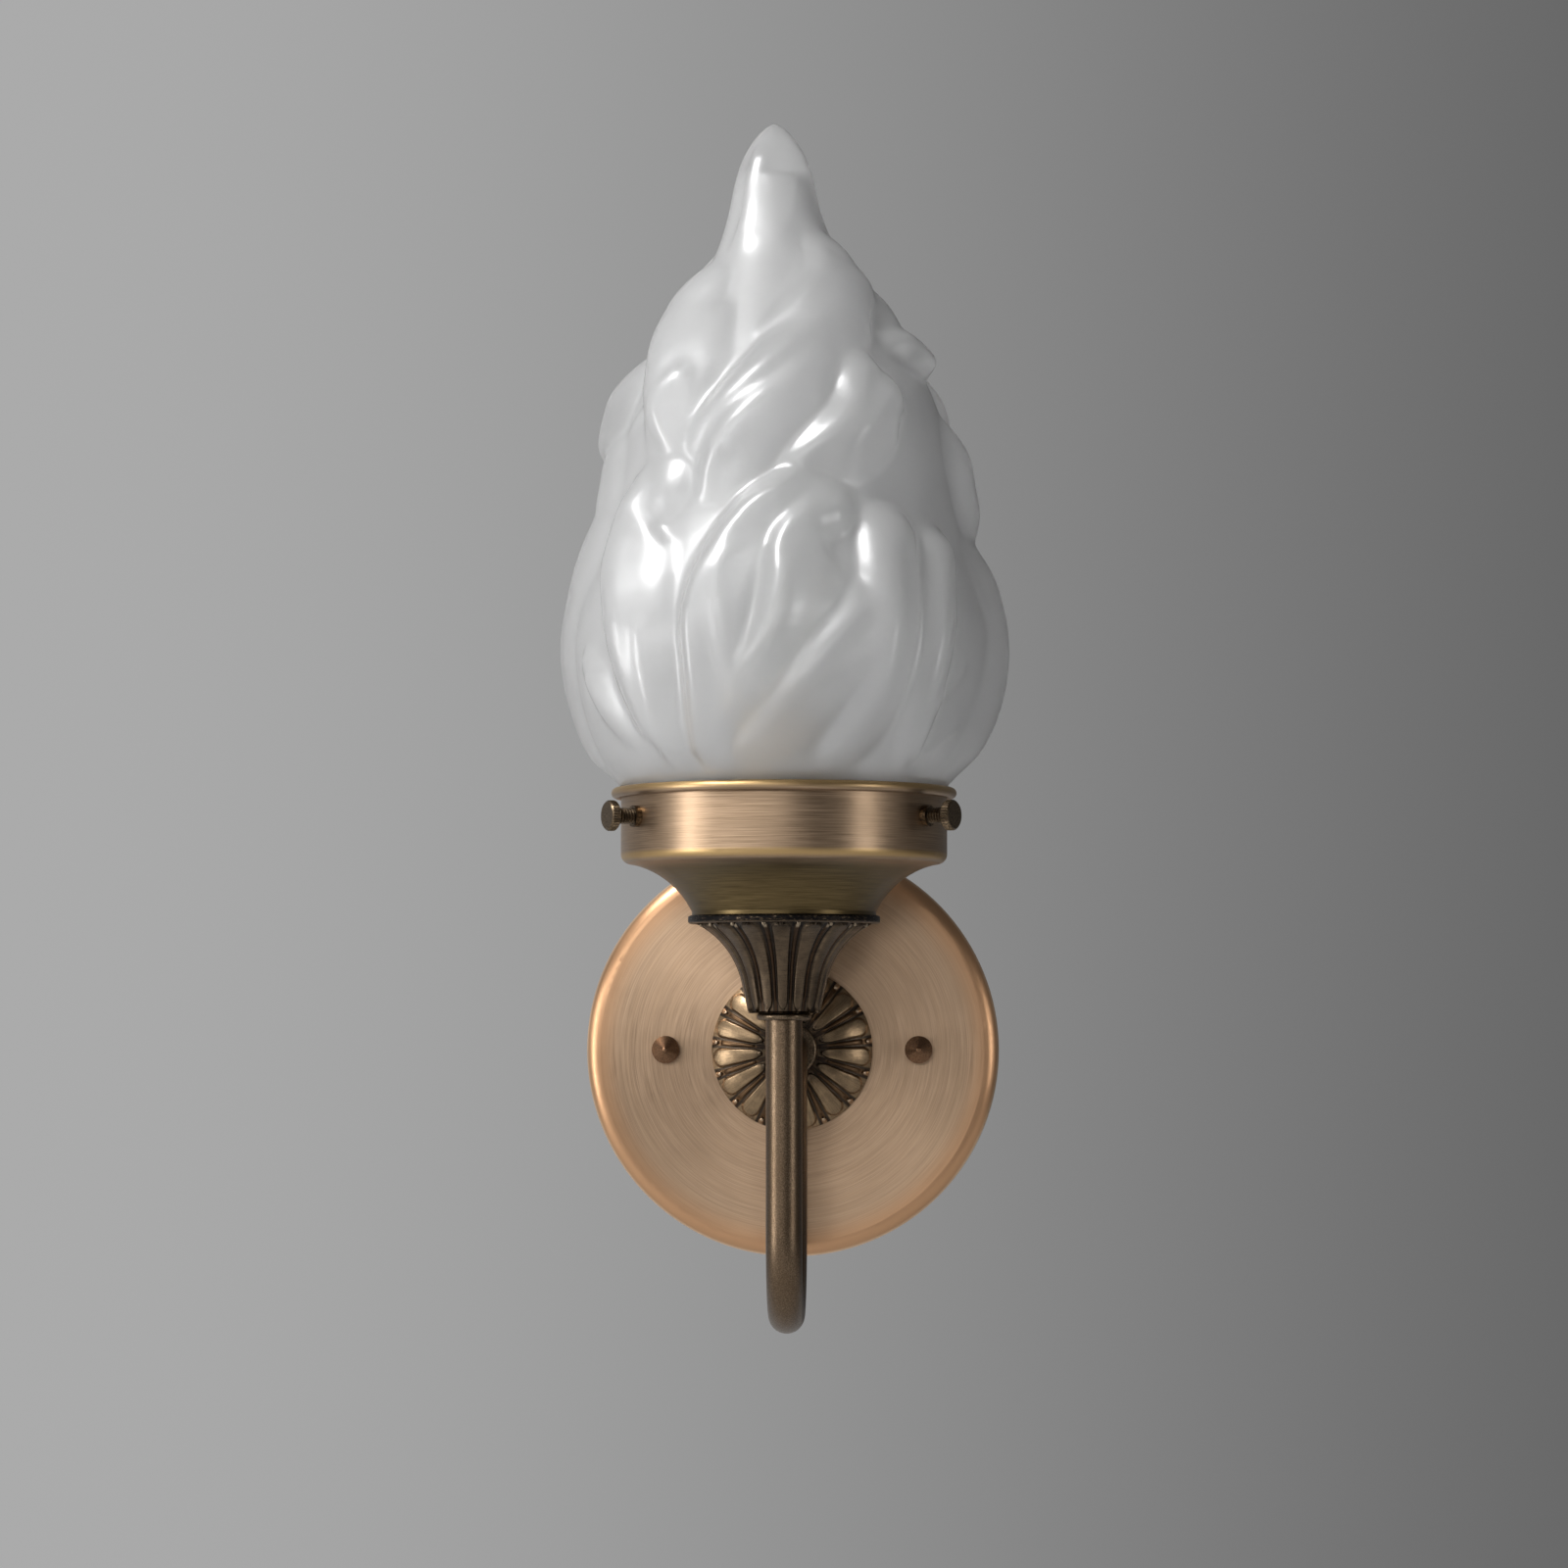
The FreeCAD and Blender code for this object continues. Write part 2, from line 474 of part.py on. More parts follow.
def rosette():
    """Cast dome: wide raised petals, narrow valleys between them, and a bead at
    the end of each."""
    outer = ROSETTE_DIA / 2
    land = ROSETTE_LAND_DIA / 2
    top = ROSETTE_HEIGHT - ROSETTE_RECESS
    crown = ((outer + land) / 2 + 1.6, ROSETTE_RIM + (top - ROSETTE_RIM) * 0.68)
    dome = turned([
        (PASS_R, 0), (outer, 0), (outer, ROSETTE_RIM), (*crown, land + ROSETTE_RECESS, top),
        (land, ROSETTE_HEIGHT), (PASS_R, ROSETTE_HEIGHT)])
    arc = Part.Arc(V(outer, 0, ROSETTE_RIM), V(crown[0], 0, crown[1]), V(land, 0, top))
    centre = arc.toShape().Curve.Center
    pitch = 2 * math.pi / ROSETTE_PETALS
    stations = []
    for share, spread, lift in ((0.05, 0.20, 0.2), (0.16, 0.29, 0.8), (0.45, 0.31, 1.0),
                                (0.72, 0.31, 1.0), (0.88, 0.26, 0.6)):
        at = arc.value(arc.FirstParameter + share * (arc.LastParameter - arc.FirstParameter))
        out = at - centre
        stations.append((at.x, at.z, math.degrees(math.atan2(out.z, out.x)),
                         spread * pitch * at.x, lift * ROSETTE_RECESS))
    petals = ring_of(finger(stations), ROSETTE_PETALS)
    outer_bead = V(outer - ROSETTE_BEAD_R, 0, ROSETTE_RIM + 0.3 * ROSETTE_BEAD_R)
    inner_bead = V(land + ROSETTE_RECESS + 0.4, 0, top - 0.1)
    beads = ring_of(ball(ROSETTE_BEAD_R, outer_bead), ROSETTE_PETALS, 180.0 / ROSETTE_PETALS)
    beads += ring_of(ball(ROSETTE_BEAD_R, inner_bead), ROSETTE_PETALS)
    return placed(dome.fuse(petals + beads), V(0, -CANOPY_DEPTH, 0), FROM_WALL)


def check_ring(thick):
    """Threaded ring with a rounded edge."""
    outer = RING_DIA / 2
    round_r = thick / 2
    return turned([(TUBE_R, 0), (outer - round_r, 0),
                   (outer, round_r, outer - round_r, thick), (TUBE_R, thick)])


def arm_path(shift_x):
    """Centreline of the arm, moved sideways by shift_x, from the cup's end to the wall's."""
    top = V(shift_x, -REACH, ARM_TOP_Z)
    front_low = V(shift_x, -REACH, -LEG_DROP)
    bottom = V(shift_x, -REACH + U_BEND_R, -LEG_DROP - U_BEND_R)
    rear_low = V(shift_x, -REAR_LEG_DEPTH, -LEG_DROP)
    rear_high = V(shift_x, -REAR_LEG_DEPTH, -ELBOW_R)
    elbow_end = V(shift_x, -REAR_LEG_DEPTH + ELBOW_R, 0)
    bend = ELBOW_R * (1 - math.sqrt(0.5))
    elbow_mid = V(shift_x, -REAR_LEG_DEPTH + bend, -bend)
    tail = V(shift_x, -ARM_TAIL_GAP, 0)
    return [Part.LineSegment(top, front_low), Part.Arc(front_low, bottom, rear_low),
            Part.LineSegment(rear_low, rear_high), Part.Arc(rear_high, elbow_mid, elbow_end),
            Part.LineSegment(elbow_end, tail)]


def arm_tube():
    path = [piece.toShape() for piece in arm_path(0)]
    return along_path(path, TUBE_R).cut(along_path(path, TUBE_R - TUBE_WALL))


def lead(side):
    """Insulated lead: from its terminal screw, down and round inside the arm, and
    out to its connector inside the canopy. side is -1 on the left, 1 on the right."""
    shift = side * LEAD_SPACING / 2
    outward = V(side, 0, 0)
    down = V(0, 0, -1)
    terminal = V(side * (TERMINAL_X - TERMINAL_HEAD_DIA / 2), -REACH, SOCKET_BODY_Z - TERMINAL_HEAD_THICK / 2)
    bend_start = V(shift, -REACH, terminal.z) + outward * LEAD_TURN_R
    bend, bend_end = quarter_arc(bend_start, outward * -1, down, LEAD_TURN_R)
    route = arm_path(shift)
    route[0] = Part.LineSegment(bend_end, route[0].EndPoint)
    exit_at = V(shift, -ARM_TAIL_GAP + LEAD_EXIT, 0)
    route[-1] = Part.LineSegment(route[-1].StartPoint, exit_at)
    fan = fan_direction(side)
    turn, turn_end = quarter_arc(exit_at, V(0, 1, 0), fan, LEAD_TURN_R)
    route = [Part.LineSegment(terminal, bend_start), bend] + route
    route += [turn, Part.LineSegment(turn_end, turn_end + fan * (LEAD_TAIL + CONNECTOR_BORE_DEPTH))]
    return along_path([piece.toShape() for piece in route], LEAD_DIA / 2)


def fan_direction(side):
    angle = math.radians(LEAD_FAN_DEG)
    return V(side * math.cos(angle), 0, -math.sin(angle))


def wire_connector(side):
    """Tapered twist-on connector with a blind bore that holds the lead's end."""
    wide, narrow = CONNECTOR_DIA / 2, CONNECTOR_TIP_DIA / 2
    bore = LEAD_DIA / 2
    body = turned([
        (bore, 0), (wide - 0.6, 0), (wide, 0.6), (wide, 3.0), (narrow, CONNECTOR_LENGTH - 1.0),
        (narrow - 1.0, CONNECTOR_LENGTH), (0, CONNECTOR_LENGTH),
        (0, CONNECTOR_BORE_DEPTH), (bore, CONNECTOR_BORE_DEPTH)])
    fan = fan_direction(side)
    depth = ARM_TAIL_GAP - LEAD_EXIT - LEAD_TURN_R
    start = V(side * LEAD_SPACING / 2, -depth, 0) + fan * (LEAD_TURN_R + LEAD_TAIL)
    return placed(body, start, FreeCAD.Rotation(V(0, 0, 1), fan))


def ground_lead():
    """Lead from the flat of the arm's nut round to the flat of the ground screw."""
    nut_depth = ARM_NUT_DEPTH + ARM_NUT_THICK / 2
    head_depth = CROSSBAR_THICK + GROUND_COLLAR_THICK + GROUND_HEAD_THICK / 2
    level = GROUND_SCREW_Z
    right, to_wall, left = V(1, 0, 0), V(0, 1, 0), V(-1, 0, 0)
    start = V(ARM_NUT_ACROSS / 2, -nut_depth, level)
    first = V(GROUND_LOOP_X, -nut_depth, level)
    bend_1, end_1 = quarter_arc(first, right, to_wall, GROUND_LOOP_R)
    second = V(end_1.x, -head_depth - GROUND_LOOP_R, level)
    bend_2, end_2 = quarter_arc(second, to_wall, left, GROUND_LOOP_R)
    finish = V(GROUND_SCREW_X + GROUND_HEAD_ACROSS / 2, -head_depth, level)
    route = [Part.LineSegment(start, first), bend_1, Part.LineSegment(end_1, second),
             bend_2, Part.LineSegment(end_2, finish)]
    return along_path([piece.toShape() for piece in route], LEAD_DIA / 2)


# ---- cup and holder ---------------------------------------------------------
def cup():
    """Cast bell with raised flutes, beads under its flange, and a flat flange."""
    base, waist = CUP_BASE_DIA / 2, CUP_WAIST_DIA / 2
    throat, mouth = CUP_THROAT_DIA / 2, CUP_MOUTH_DIA / 2
    low = CUP_RECESS
    inner = CUP_WALL + CUP_RECESS
    bell = turned([
        (PASS_R, CUP_BASE_Z), (base - low, CUP_BASE_Z), (waist - low, CUP_WAIST_Z),
        (throat - low, CUP_THROAT_Z + low, mouth - low, FLANGE_UNDER_Z),
        (FLANGE_DIA / 2 - 0.6, FLANGE_UNDER_Z), (FLANGE_DIA / 2, FLANGE_UNDER_Z + 0.6),
        (FLANGE_DIA / 2, FLANGE_TOP_Z - 0.5), (FLANGE_DIA / 2 - 0.5, FLANGE_TOP_Z),
        (mouth - inner, FLANGE_TOP_Z), (mouth - inner, FLANGE_UNDER_Z),
        (throat - inner, CUP_THROAT_Z + inner / 2, waist - inner, CUP_WAIST_Z + inner / 2),
        (PASS_R, CUP_WAIST_Z + inner / 2)])
    pitch = 2 * math.pi / CUP_FLUTES
    curve = Part.Arc(V(waist, 0, CUP_WAIST_Z), V(throat, 0, CUP_THROAT_Z),
                     V(mouth, 0, FLANGE_UNDER_Z))
    centre = curve.toShape().Curve.Center
    stations = []
    for share, spread in ((0.04, 0.17), (0.35, 0.28), (0.8, 0.30)):
        radius = base + share * (waist - base) - low
        height = CUP_BASE_Z + share * (CUP_WAIST_Z - CUP_BASE_Z)
        stations.append((radius, height, 0.0, spread * pitch * radius, low))
    for share, spread in ((0.25, 0.31), (0.5, 0.31), (0.75, 0.31), (0.9, 0.27)):
        at = curve.value(curve.FirstParameter + share * (curve.LastParameter - curve.FirstParameter))
        inward = centre - at
        inward.normalize()
        down = math.degrees(math.atan2(inward.z, inward.x))
        stations.append((at.x - low * inward.x, at.z - low * inward.z, down,
                         spread * pitch * at.x, low))
    flutes = ring_of(finger(stations), CUP_FLUTES, -90)
    bead_at = V(mouth - 1.6, 0, FLANGE_UNDER_Z - 0.6 * CUP_BEAD_R)
    beads = ring_of(ball(CUP_BEAD_R, bead_at), CUP_FLUTES, -90 + 180.0 / CUP_FLUTES)
    return placed(bell.fuse(flutes + beads), CUP_AXIS)


def screw_frames():
    """Outward turn of each thumb screw, about the cup's axis, at the screws' height."""
    for k in range(SCREW_COUNT):
        azimuth = math.radians(SCREW_FIRST_AZIMUTH + 360.0 * k / SCREW_COUNT)
        outward = V(math.sin(azimuth), -math.cos(azimuth), 0)
        yield CUP_AXIS + V(0, 0, SCREW_Z), FreeCAD.Rotation(V(0, 0, 1), outward)


def shade_holder():
    """Spun metal: flat floor, flared neck, straight body and a rolled rim."""
    wall = HOLDER_WALL
    outer, inner = HOLDER_OUTER_R, HOLDER_INNER_R
    neck, bend = HOLDER_NECK_DIA / 2, HOLDER_BEND_DIA / 2
    corner_in = HOLDER_CORNER_R - wall
    ledge = outer - HOLDER_CORNER_R
    diagonal = math.sqrt(0.5)
    bead = outer - RIM_TUCK + RIM_BEAD_R
    tuck_rise = math.sqrt(RIM_BEAD_R ** 2 - (RIM_BEAD_R - RIM_TUCK) ** 2)
    floor, top = FLANGE_TOP_Z, HOLDER_FLOOR_Z
    corner = LEDGE_Z + HOLDER_CORNER_R
    shell = turned([
        (PASS_R, floor), (neck, floor), (neck, top),
        (bend, floor + HOLDER_BEND_RISE, ledge, LEDGE_Z),
        (ledge + diagonal * HOLDER_CORNER_R, corner - diagonal * HOLDER_CORNER_R, outer, corner),
        (outer, RIM_Z - tuck_rise), (bead + RIM_BEAD_R, RIM_Z, outer, RIM_Z + tuck_rise),
        (inner, RIM_Z - tuck_rise), (inner, corner),
        (ledge + diagonal * corner_in, corner - diagonal * corner_in, ledge, LEDGE_Z + wall),
        (bend - wall * 0.8, floor + HOLDER_BEND_RISE + wall * 0.6, neck - wall, top),
        (PASS_R, top)])
    shell = placed(shell, CUP_AXIS)
    for at, turn in screw_frames():
        hole = rod(BOSS_DIA / 2, HOLDER_INNER_R - 4 * wall, 8 * wall)
        shell = shell.cut(placed(hole, at, turn))
    return shell


def screw_boss():
    """Threaded bush through the holder's wall, flush inside it."""
    return bush(BOSS_DIA / 2, SCREW_DIA / 2 + RUN_CLEARANCE, TIP_FACE_R,
                HOLDER_OUTER_R + BOSS_PROUD - TIP_FACE_R)


def screw_tip():
    """Soft plug in the screw's end, on which the screw turns."""
    return rod(TIP_DIA / 2, TIP_FACE_R, TIP_PROUD + TIP_BURIED)


def thumb_screw():
    """Knurled round head on a threaded shank, bored for its tip."""
    start = TIP_FACE_R + TIP_PROUD
    head_start = start + SCREW_SHANK
    head_end = head_start + SCREW_HEAD_THICK
    thread = grooved(SCREW_DIA / 2, SCREW_THREAD_DEPTH, SCREW_PITCH, start, SCREW_SHANK)
    bore = TIP_DIA / 2 + RUN_CLEARANCE
    shank = turned([(0, start + TIP_BURIED + RUN_CLEARANCE), (bore, start + TIP_BURIED + RUN_CLEARANCE),
                    (bore, start)] + thread + [(0, head_start)])
    outer = SCREW_HEAD_DIA / 2
    points = []
    for k in range(2 * SCREW_KNURLS + 1):
        radius = outer - (k % 2) * SCREW_KNURL_DEPTH
        angle = math.pi * k / SCREW_KNURLS
        points.append(V(radius * math.cos(angle), radius * math.sin(angle), head_start))
    head = Part.Face(Part.makePolygon(points)).extrude(V(0, 0, SCREW_HEAD_THICK))
    bevel = SCREW_HEAD_BEVEL
    limits = turned([(0, head_start), (outer - bevel, head_start), (outer, head_start + bevel),
                     (outer, head_end - bevel), (outer - bevel, head_end), (0, head_end)])
    return shank.fuse(head.common(limits)).removeSplitter()


# ---- socket -----------------------------------------------------------------
def socket_cap():
    """Domed cap with a threaded hub that screws onto the arm."""
    hub, outer, skin = SOCKET_HUB_DIA / 2, SOCKET_DIA / 2, SOCKET_SKIN
    base, top = SOCKET_Z, SOCKET_Z + SOCKET_CAP_HEIGHT
    shoulder = base + SOCKET_HUB_HEIGHT
    rise = top - shoulder
    inner = outer - skin
    return turned([
        (TUBE_R, base), (hub, base), (hub, shoulder - 1.0),
        (hub + 0.62 * (outer - hub), shoulder - 1.0 + 0.30 * rise, outer, top - 2.0), (outer, top),
        (inner, top), (inner, top - 2.0),
        (hub + 0.62 * (inner - hub), shoulder + skin + 0.30 * rise, hub, shoulder), (TUBE_R, shoulder)])


def socket_shell():
    """Thin brass shell with a rolled-in mouth."""
    outer, skin = SOCKET_DIA / 2, SOCKET_SKIN
    base, top = SOCKET_Z + SOCKET_CAP_HEIGHT, SOCKET_TOP_Z
    lip = outer - 1.2
    return turned([
        (outer - skin, base), (outer, base), (outer, top - 1.2),
        (outer - 0.35, top - 0.35, lip, top), (lip, top - skin), (outer - skin, top - skin - 0.6)])


def insulating_sleeve():
    base = SOCKET_Z + SOCKET_CAP_HEIGHT
    return bush(SLEEVE_R, SLEEVE_R - SLEEVE_THICK, base, SOCKET_TOP_Z - base - 2.4)


def socket_body():
    """Moulded insulating body: a flange that fills the sleeve, under the screw shell."""
    return turned([
        (0, SOCKET_BODY_Z), (SLEEVE_R - SLEEVE_THICK, SOCKET_BODY_Z),
        (SLEEVE_R - SLEEVE_THICK, SOCKET_BODY_Z + 4.0), (BORE_R, SOCKET_BODY_Z + 5.0),
        (BORE_R, SOCKET_BODY_TOP_Z), (0, SOCKET_BODY_TOP_Z)])


def screw_shell():
    """Socket's threaded shell, wider than the bulb's base by the glass clearance."""
    crest = BULB_BASE_DIA / 2 + GLASS_CLEARANCE
    root = min(crest + BULB_THREAD_DEPTH, BORE_R - SCREW_SHELL_SKIN)
    depth = root - crest
    height = SOCKET_TOP_Z - 2.4 - SOCKET_BODY_TOP_Z
    inside = [(2 * root - depth - r, z) for r, z in
              grooved(root, depth, BULB_THREAD_PITCH, SOCKET_BODY_TOP_Z, height)]
    outside = [(r + SCREW_SHELL_SKIN, z) for r, z in reversed(inside)]
    return turned(inside + outside)


def centre_contact():
    """Sprung brass tongue, here at the height where the bulb presses it."""
    half = CONTACT_DIA / 2
    tongue = Part.Wire(edges_through([
        (-half, SOCKET_BODY_TOP_Z), (half, SOCKET_BODY_TOP_Z), (half, SOCKET_BODY_TOP_Z + 0.8),
        (-half + 1.6, SOCKET_BODY_TOP_Z + 0.8), (half, CONTACT_TOP_Z - 0.8), (half, CONTACT_TOP_Z),
        (half - 1.4, CONTACT_TOP_Z), (-half, SOCKET_BODY_TOP_Z + 1.0)]))
    bar = Part.Face(tongue).extrude(V(0, CONTACT_DIA * 0.7, 0))
    return placed(bar, V(0, -CONTACT_DIA * 0.35, 0))


def terminal_screw():
    """Round-headed screw under the socket body."""
    head = TERMINAL_HEAD_DIA / 2
    base = SOCKET_BODY_Z - TERMINAL_HEAD_THICK
    return turned([(0, base), (head - 0.4, base), (head, base + 0.4), (head, SOCKET_BODY_Z),
                   (0, SOCKET_BODY_Z)])


# ---- bulb -------------------------------------------------------------------
def bulb_heights():
    """Heights of the base's threaded part and of the glass ball's centre."""
    thread = BULB_Z + BULB_BUTTON_HEIGHT + BULB_CONE_HEIGHT
    return thread, thread + BULB_BASE_HEIGHT, BULB_Z + BULB_LENGTH - BULB_DIA / 2


def bulb_button():
    r, height = BULB_BUTTON_DIA / 2, BULB_BUTTON_HEIGHT
    round_r = (r * r + height * height) / (2 * height)
    half_turn = math.asin(r / round_r) / 2
    middle = (round_r * math.sin(half_turn), BULB_Z + round_r * (1 - math.cos(half_turn)))
    return turned([(0, BULB_Z), (*middle, r, BULB_Z + height), (0, BULB_Z + height)])


def bulb_insulator():
    thread, _, _ = bulb_heights()
    base = BULB_Z + BULB_BUTTON_HEIGHT
    root = BULB_BASE_DIA / 2 - BULB_THREAD_DEPTH
    return turned([(0, base), (BULB_BUTTON_DIA / 2, base), (root - BULB_BASE_SKIN, thread), (0, thread)])


def bulb_base():
    thread, _, _ = bulb_heights()
    outside = grooved(BULB_BASE_DIA / 2, BULB_THREAD_DEPTH, BULB_THREAD_PITCH, thread, BULB_BASE_HEIGHT)
    inside = [(r - BULB_BASE_SKIN, z) for r, z in reversed(outside)]
    return turned(outside + inside)


def bulb_outline(inset):
    """Glass from the base's mouth to the top, moved inwards by inset."""
    _, glass, centre = bulb_heights()
    neck = BULB_BASE_DIA / 2 - BULB_THREAD_DEPTH - BULB_BASE_SKIN - inset
    ball_r = BULB_DIA / 2 - inset
    joint = math.radians(-35)
    side = (ball_r * math.cos(joint), centre + ball_r * math.sin(joint))
    waist = (neck + 0.22 * (side[0] - neck), glass - 1.0 + 0.5 * (side[1] - glass))
    high = math.radians(25)
    return neck, waist, side, (ball_r * math.cos(high), centre + ball_r * math.sin(high)), centre + ball_r


def bulb_glass():
    _, glass, _ = bulb_heights()
    start = glass - 3.0
    neck, waist, side, high, top = bulb_outline(0)
    neck_in, waist_in, side_in, high_in, top_in = bulb_outline(BULB_GLASS)
    return turned([
        (neck_in, start), (neck, start), (neck, glass), (*waist, *side), (*high, 0, top),
        (0, top_in), (*high_in, *side_in), (*waist_in, neck_in, glass)])


def bulb_stem():
    """Glass stem that carries the filament, sealed into the neck."""
    _, glass, centre = bulb_heights()
    neck = bulb_outline(BULB_GLASS)[0]
    return turned([
        (0, glass - 3.0), (neck, glass - 3.0), (neck, glass - 2.0), (4.0, glass + 2.0),
        (2.6, glass + 6.0), (1.8, centre - 14.0), (0, centre - 14.0)])


def bulb_filament():
    """Two supports and the filament between them, standing on the stem."""
    _, _, centre = bulb_heights()
    wire_r, half = 0.35, 6.0
    base = centre - 14.0
    left, right = V(-1.0, 0, base + 0.3), V(1.0, 0, base + 0.3)
    left_high, right_high = V(-half, 0, centre - 3), V(half, 0, centre - 3)
    posts = []
    for low, high in ((left, left_high), (right, right_high)):
        posts.append(Part.makeCylinder(wire_r, low.distanceToPoint(high), low, high - low))
        posts.append(ball(wire_r * 1.6, high))
    bridge = Part.makeCylinder(wire_r * 1.2, 2 * half, left_high, V(1, 0, 0))
    foot = Part.makeCylinder(1.7, 0.6, V(0, 0, base))
    return foot.fuse(posts + [bridge]).removeSplitter()


# ---- glass shade ------------------------------------------------------------
def spine_points(spine, steps=12):
    """Points along a spine, base to tip, with the share of the way."""
    stops = [k / (len(spine) - 1) for k in range(len(spine))]
    degs = [(s, p[0]) for s, p in zip(stops, spine)]
    heights = [(s, p[1]) for s, p in zip(stops, spine)]
    return [(smooth(degs, k / steps), smooth(heights, k / steps), k / steps)
            for k in range(steps + 1)]


def nearest(points, reach, deg, height):
    """Distance from a spine, its side (-1 left, 1 right) and the share of the way
    along it, or None further than reach above or below it."""
    if not min(p[1] for p in points) - reach < height < max(p[1] for p in points) + reach:
        return None
    arc = math.radians(1) * smooth(SHADE_VALLEYS, height)
    middle = (min(p[0] for p in points) + max(p[0] for p in points)) / 2
    deg = middle + (deg - middle + 180) % 360 - 180
    best = None
    for (deg_a, z_a, t_a), (deg_b, z_b, t_b) in zip(points, points[1:]):
        ax, bx = (deg_a - deg) * arc, (deg_b - deg) * arc
        az, bz = z_a - height, z_b - height
        dx, dz = bx - ax, bz - az
        along = max(0.0, min(1.0, -(ax * dx + az * dz) / (dx * dx + dz * dz)))
        gap = math.hypot(ax + along * dx, az + along * dz)
        if best is None or gap < best[0]:
            side = -1 if ax * dz - az * dx > 0 else 1
            best = (gap, side, t_a + along * (t_b - t_a))
    return best


def ease(t):
    """Soft step from 0 to 1."""
    t = max(0.0, min(1.0, t))
    return t * t * (3 - 2 * t)


def leaf_rise(leaf, deg, height):
    """How far a leaf stands above the valleys: a crest along its spine that falls
    steeply to the left, and a shallow hollow with a soft edge to the right of it."""
    points, left, right, proud, tip, foot, growth = leaf
    found = nearest(points, max(left, right), deg, height)
    if found is None:
        return 0.0
    gap, side, t = found
    ending = ease((t - 0.72) / 0.28)
    width = (left if side < 0 else right) * (1 - ending) + (left + 0.3 * (right - left)) * ending
    width *= 0.6 + 0.4 * math.sin(math.pi / 2 * min(1.0, t / 0.5))
    q = gap / width
    if q >= 1:
        return 0.0
    crest = proud * (foot + (1 - foot) * math.sin(math.pi / 2 * min(1.0, t / growth)))
    crest *= 1 - (1 - tip) * ease((t - 0.75) / 0.25)
    steep = 1 - q ** 1.8
    if side < 0:
        return crest * steep
    hollow = LEAF_HOLLOW * (1 - math.exp(-(q / 0.3) ** 2)) * ease(t / 0.3)
    soft = (1 - hollow) * (1 - q ** 2.6)
    return crest * (soft * (1 - ending) + steep * ending)


def ridge_rise(ridge, deg, height):
    """A fine ridge with soft sides, which fades at its ends."""
    points, left, right, proud = ridge
    found = nearest(points, 3 * max(left, right), deg, height)
    if found is None:
        return 0.0
    gap, side, t = found
    taper = min(1.0, 0.15 + min(t / 0.25, (1 - t) / 0.12))
    return proud * taper * math.exp(-(gap / (left if side < 0 else right)) ** 2)


def drawn_height(height):
    """Height in the flame's tables for a real height."""
    return DRAWN_RIM_Z + (height - RIM_Z) * (DRAWN_TIP_Z - DRAWN_RIM_Z) / FLAME_HEIGHT


def valley_radius(height):
    return smooth(SHADE_VALLEYS, drawn_height(height)) * NECK_R / DRAWN_NECK_R


def shade_radius(leaves, ridges, deg, height):
    """Radius of the flame's skin: the valleys, with leaves merged over them and
    fine ridges on top."""
    drawn = drawn_height(height)
    fade = ease((height - RIM_Z - RIM_BEAD_R) / LEAVES_FADE)
    total = sum(leaf_rise(leaf, deg, drawn) ** 5 for leaf in leaves)
    rise = total ** (1 / 5) + sum(ridge_rise(ridge, deg, drawn) for ridge in ridges)
    return valley_radius(height) + rise * fade * NECK_R / DRAWN_NECK_R


def lean_at(height):
    """How far the middle of the flame is to the left at a height."""
    return -SHADE_LEAN * ease((drawn_height(height) - 185.0) / 40.0)


def skin_solid(rings):
    """Closed solid round a column of rings, each a list of points at one height,
    as one periodic cubic surface with flat ends."""
    around, along = len(rings[0]), len(rings)
    surface = Part.BSplineSurface()
    v_knots = list(range(along - 2))
    v_mults = [4] + [1] * (along - 4) + [4]
    columns = [[ring[k] for ring in rings] for k in range(around)]
    surface.buildFromPolesMultsKnots(columns, [1] * (around + 1), v_mults,
                                     list(range(around + 1)), v_knots, True, False, 3, 3)
    side = surface.toShape()
    ends = [e for e in side.Edges if e.isClosed() and abs(e.BoundBox.ZLength) < 1e-3]
    caps = [Part.Face(Part.Wire(e)) for e in ends]
    shell = Part.Shell([side] + caps)
    shell.sewShape()
    solid = Part.Solid(shell)
    if solid.Volume < 0:
        solid.reverse()
    return solid


def ring_points(radius_at, height, lean, count):
    points = []
    for k in range(count):
        deg = 360.0 * k / count + 180.0
        radius = radius_at(deg, height)
        angle = math.radians(deg)
        points.append(V(lean + radius * math.sin(angle), -radius * math.cos(angle), height))
    return points


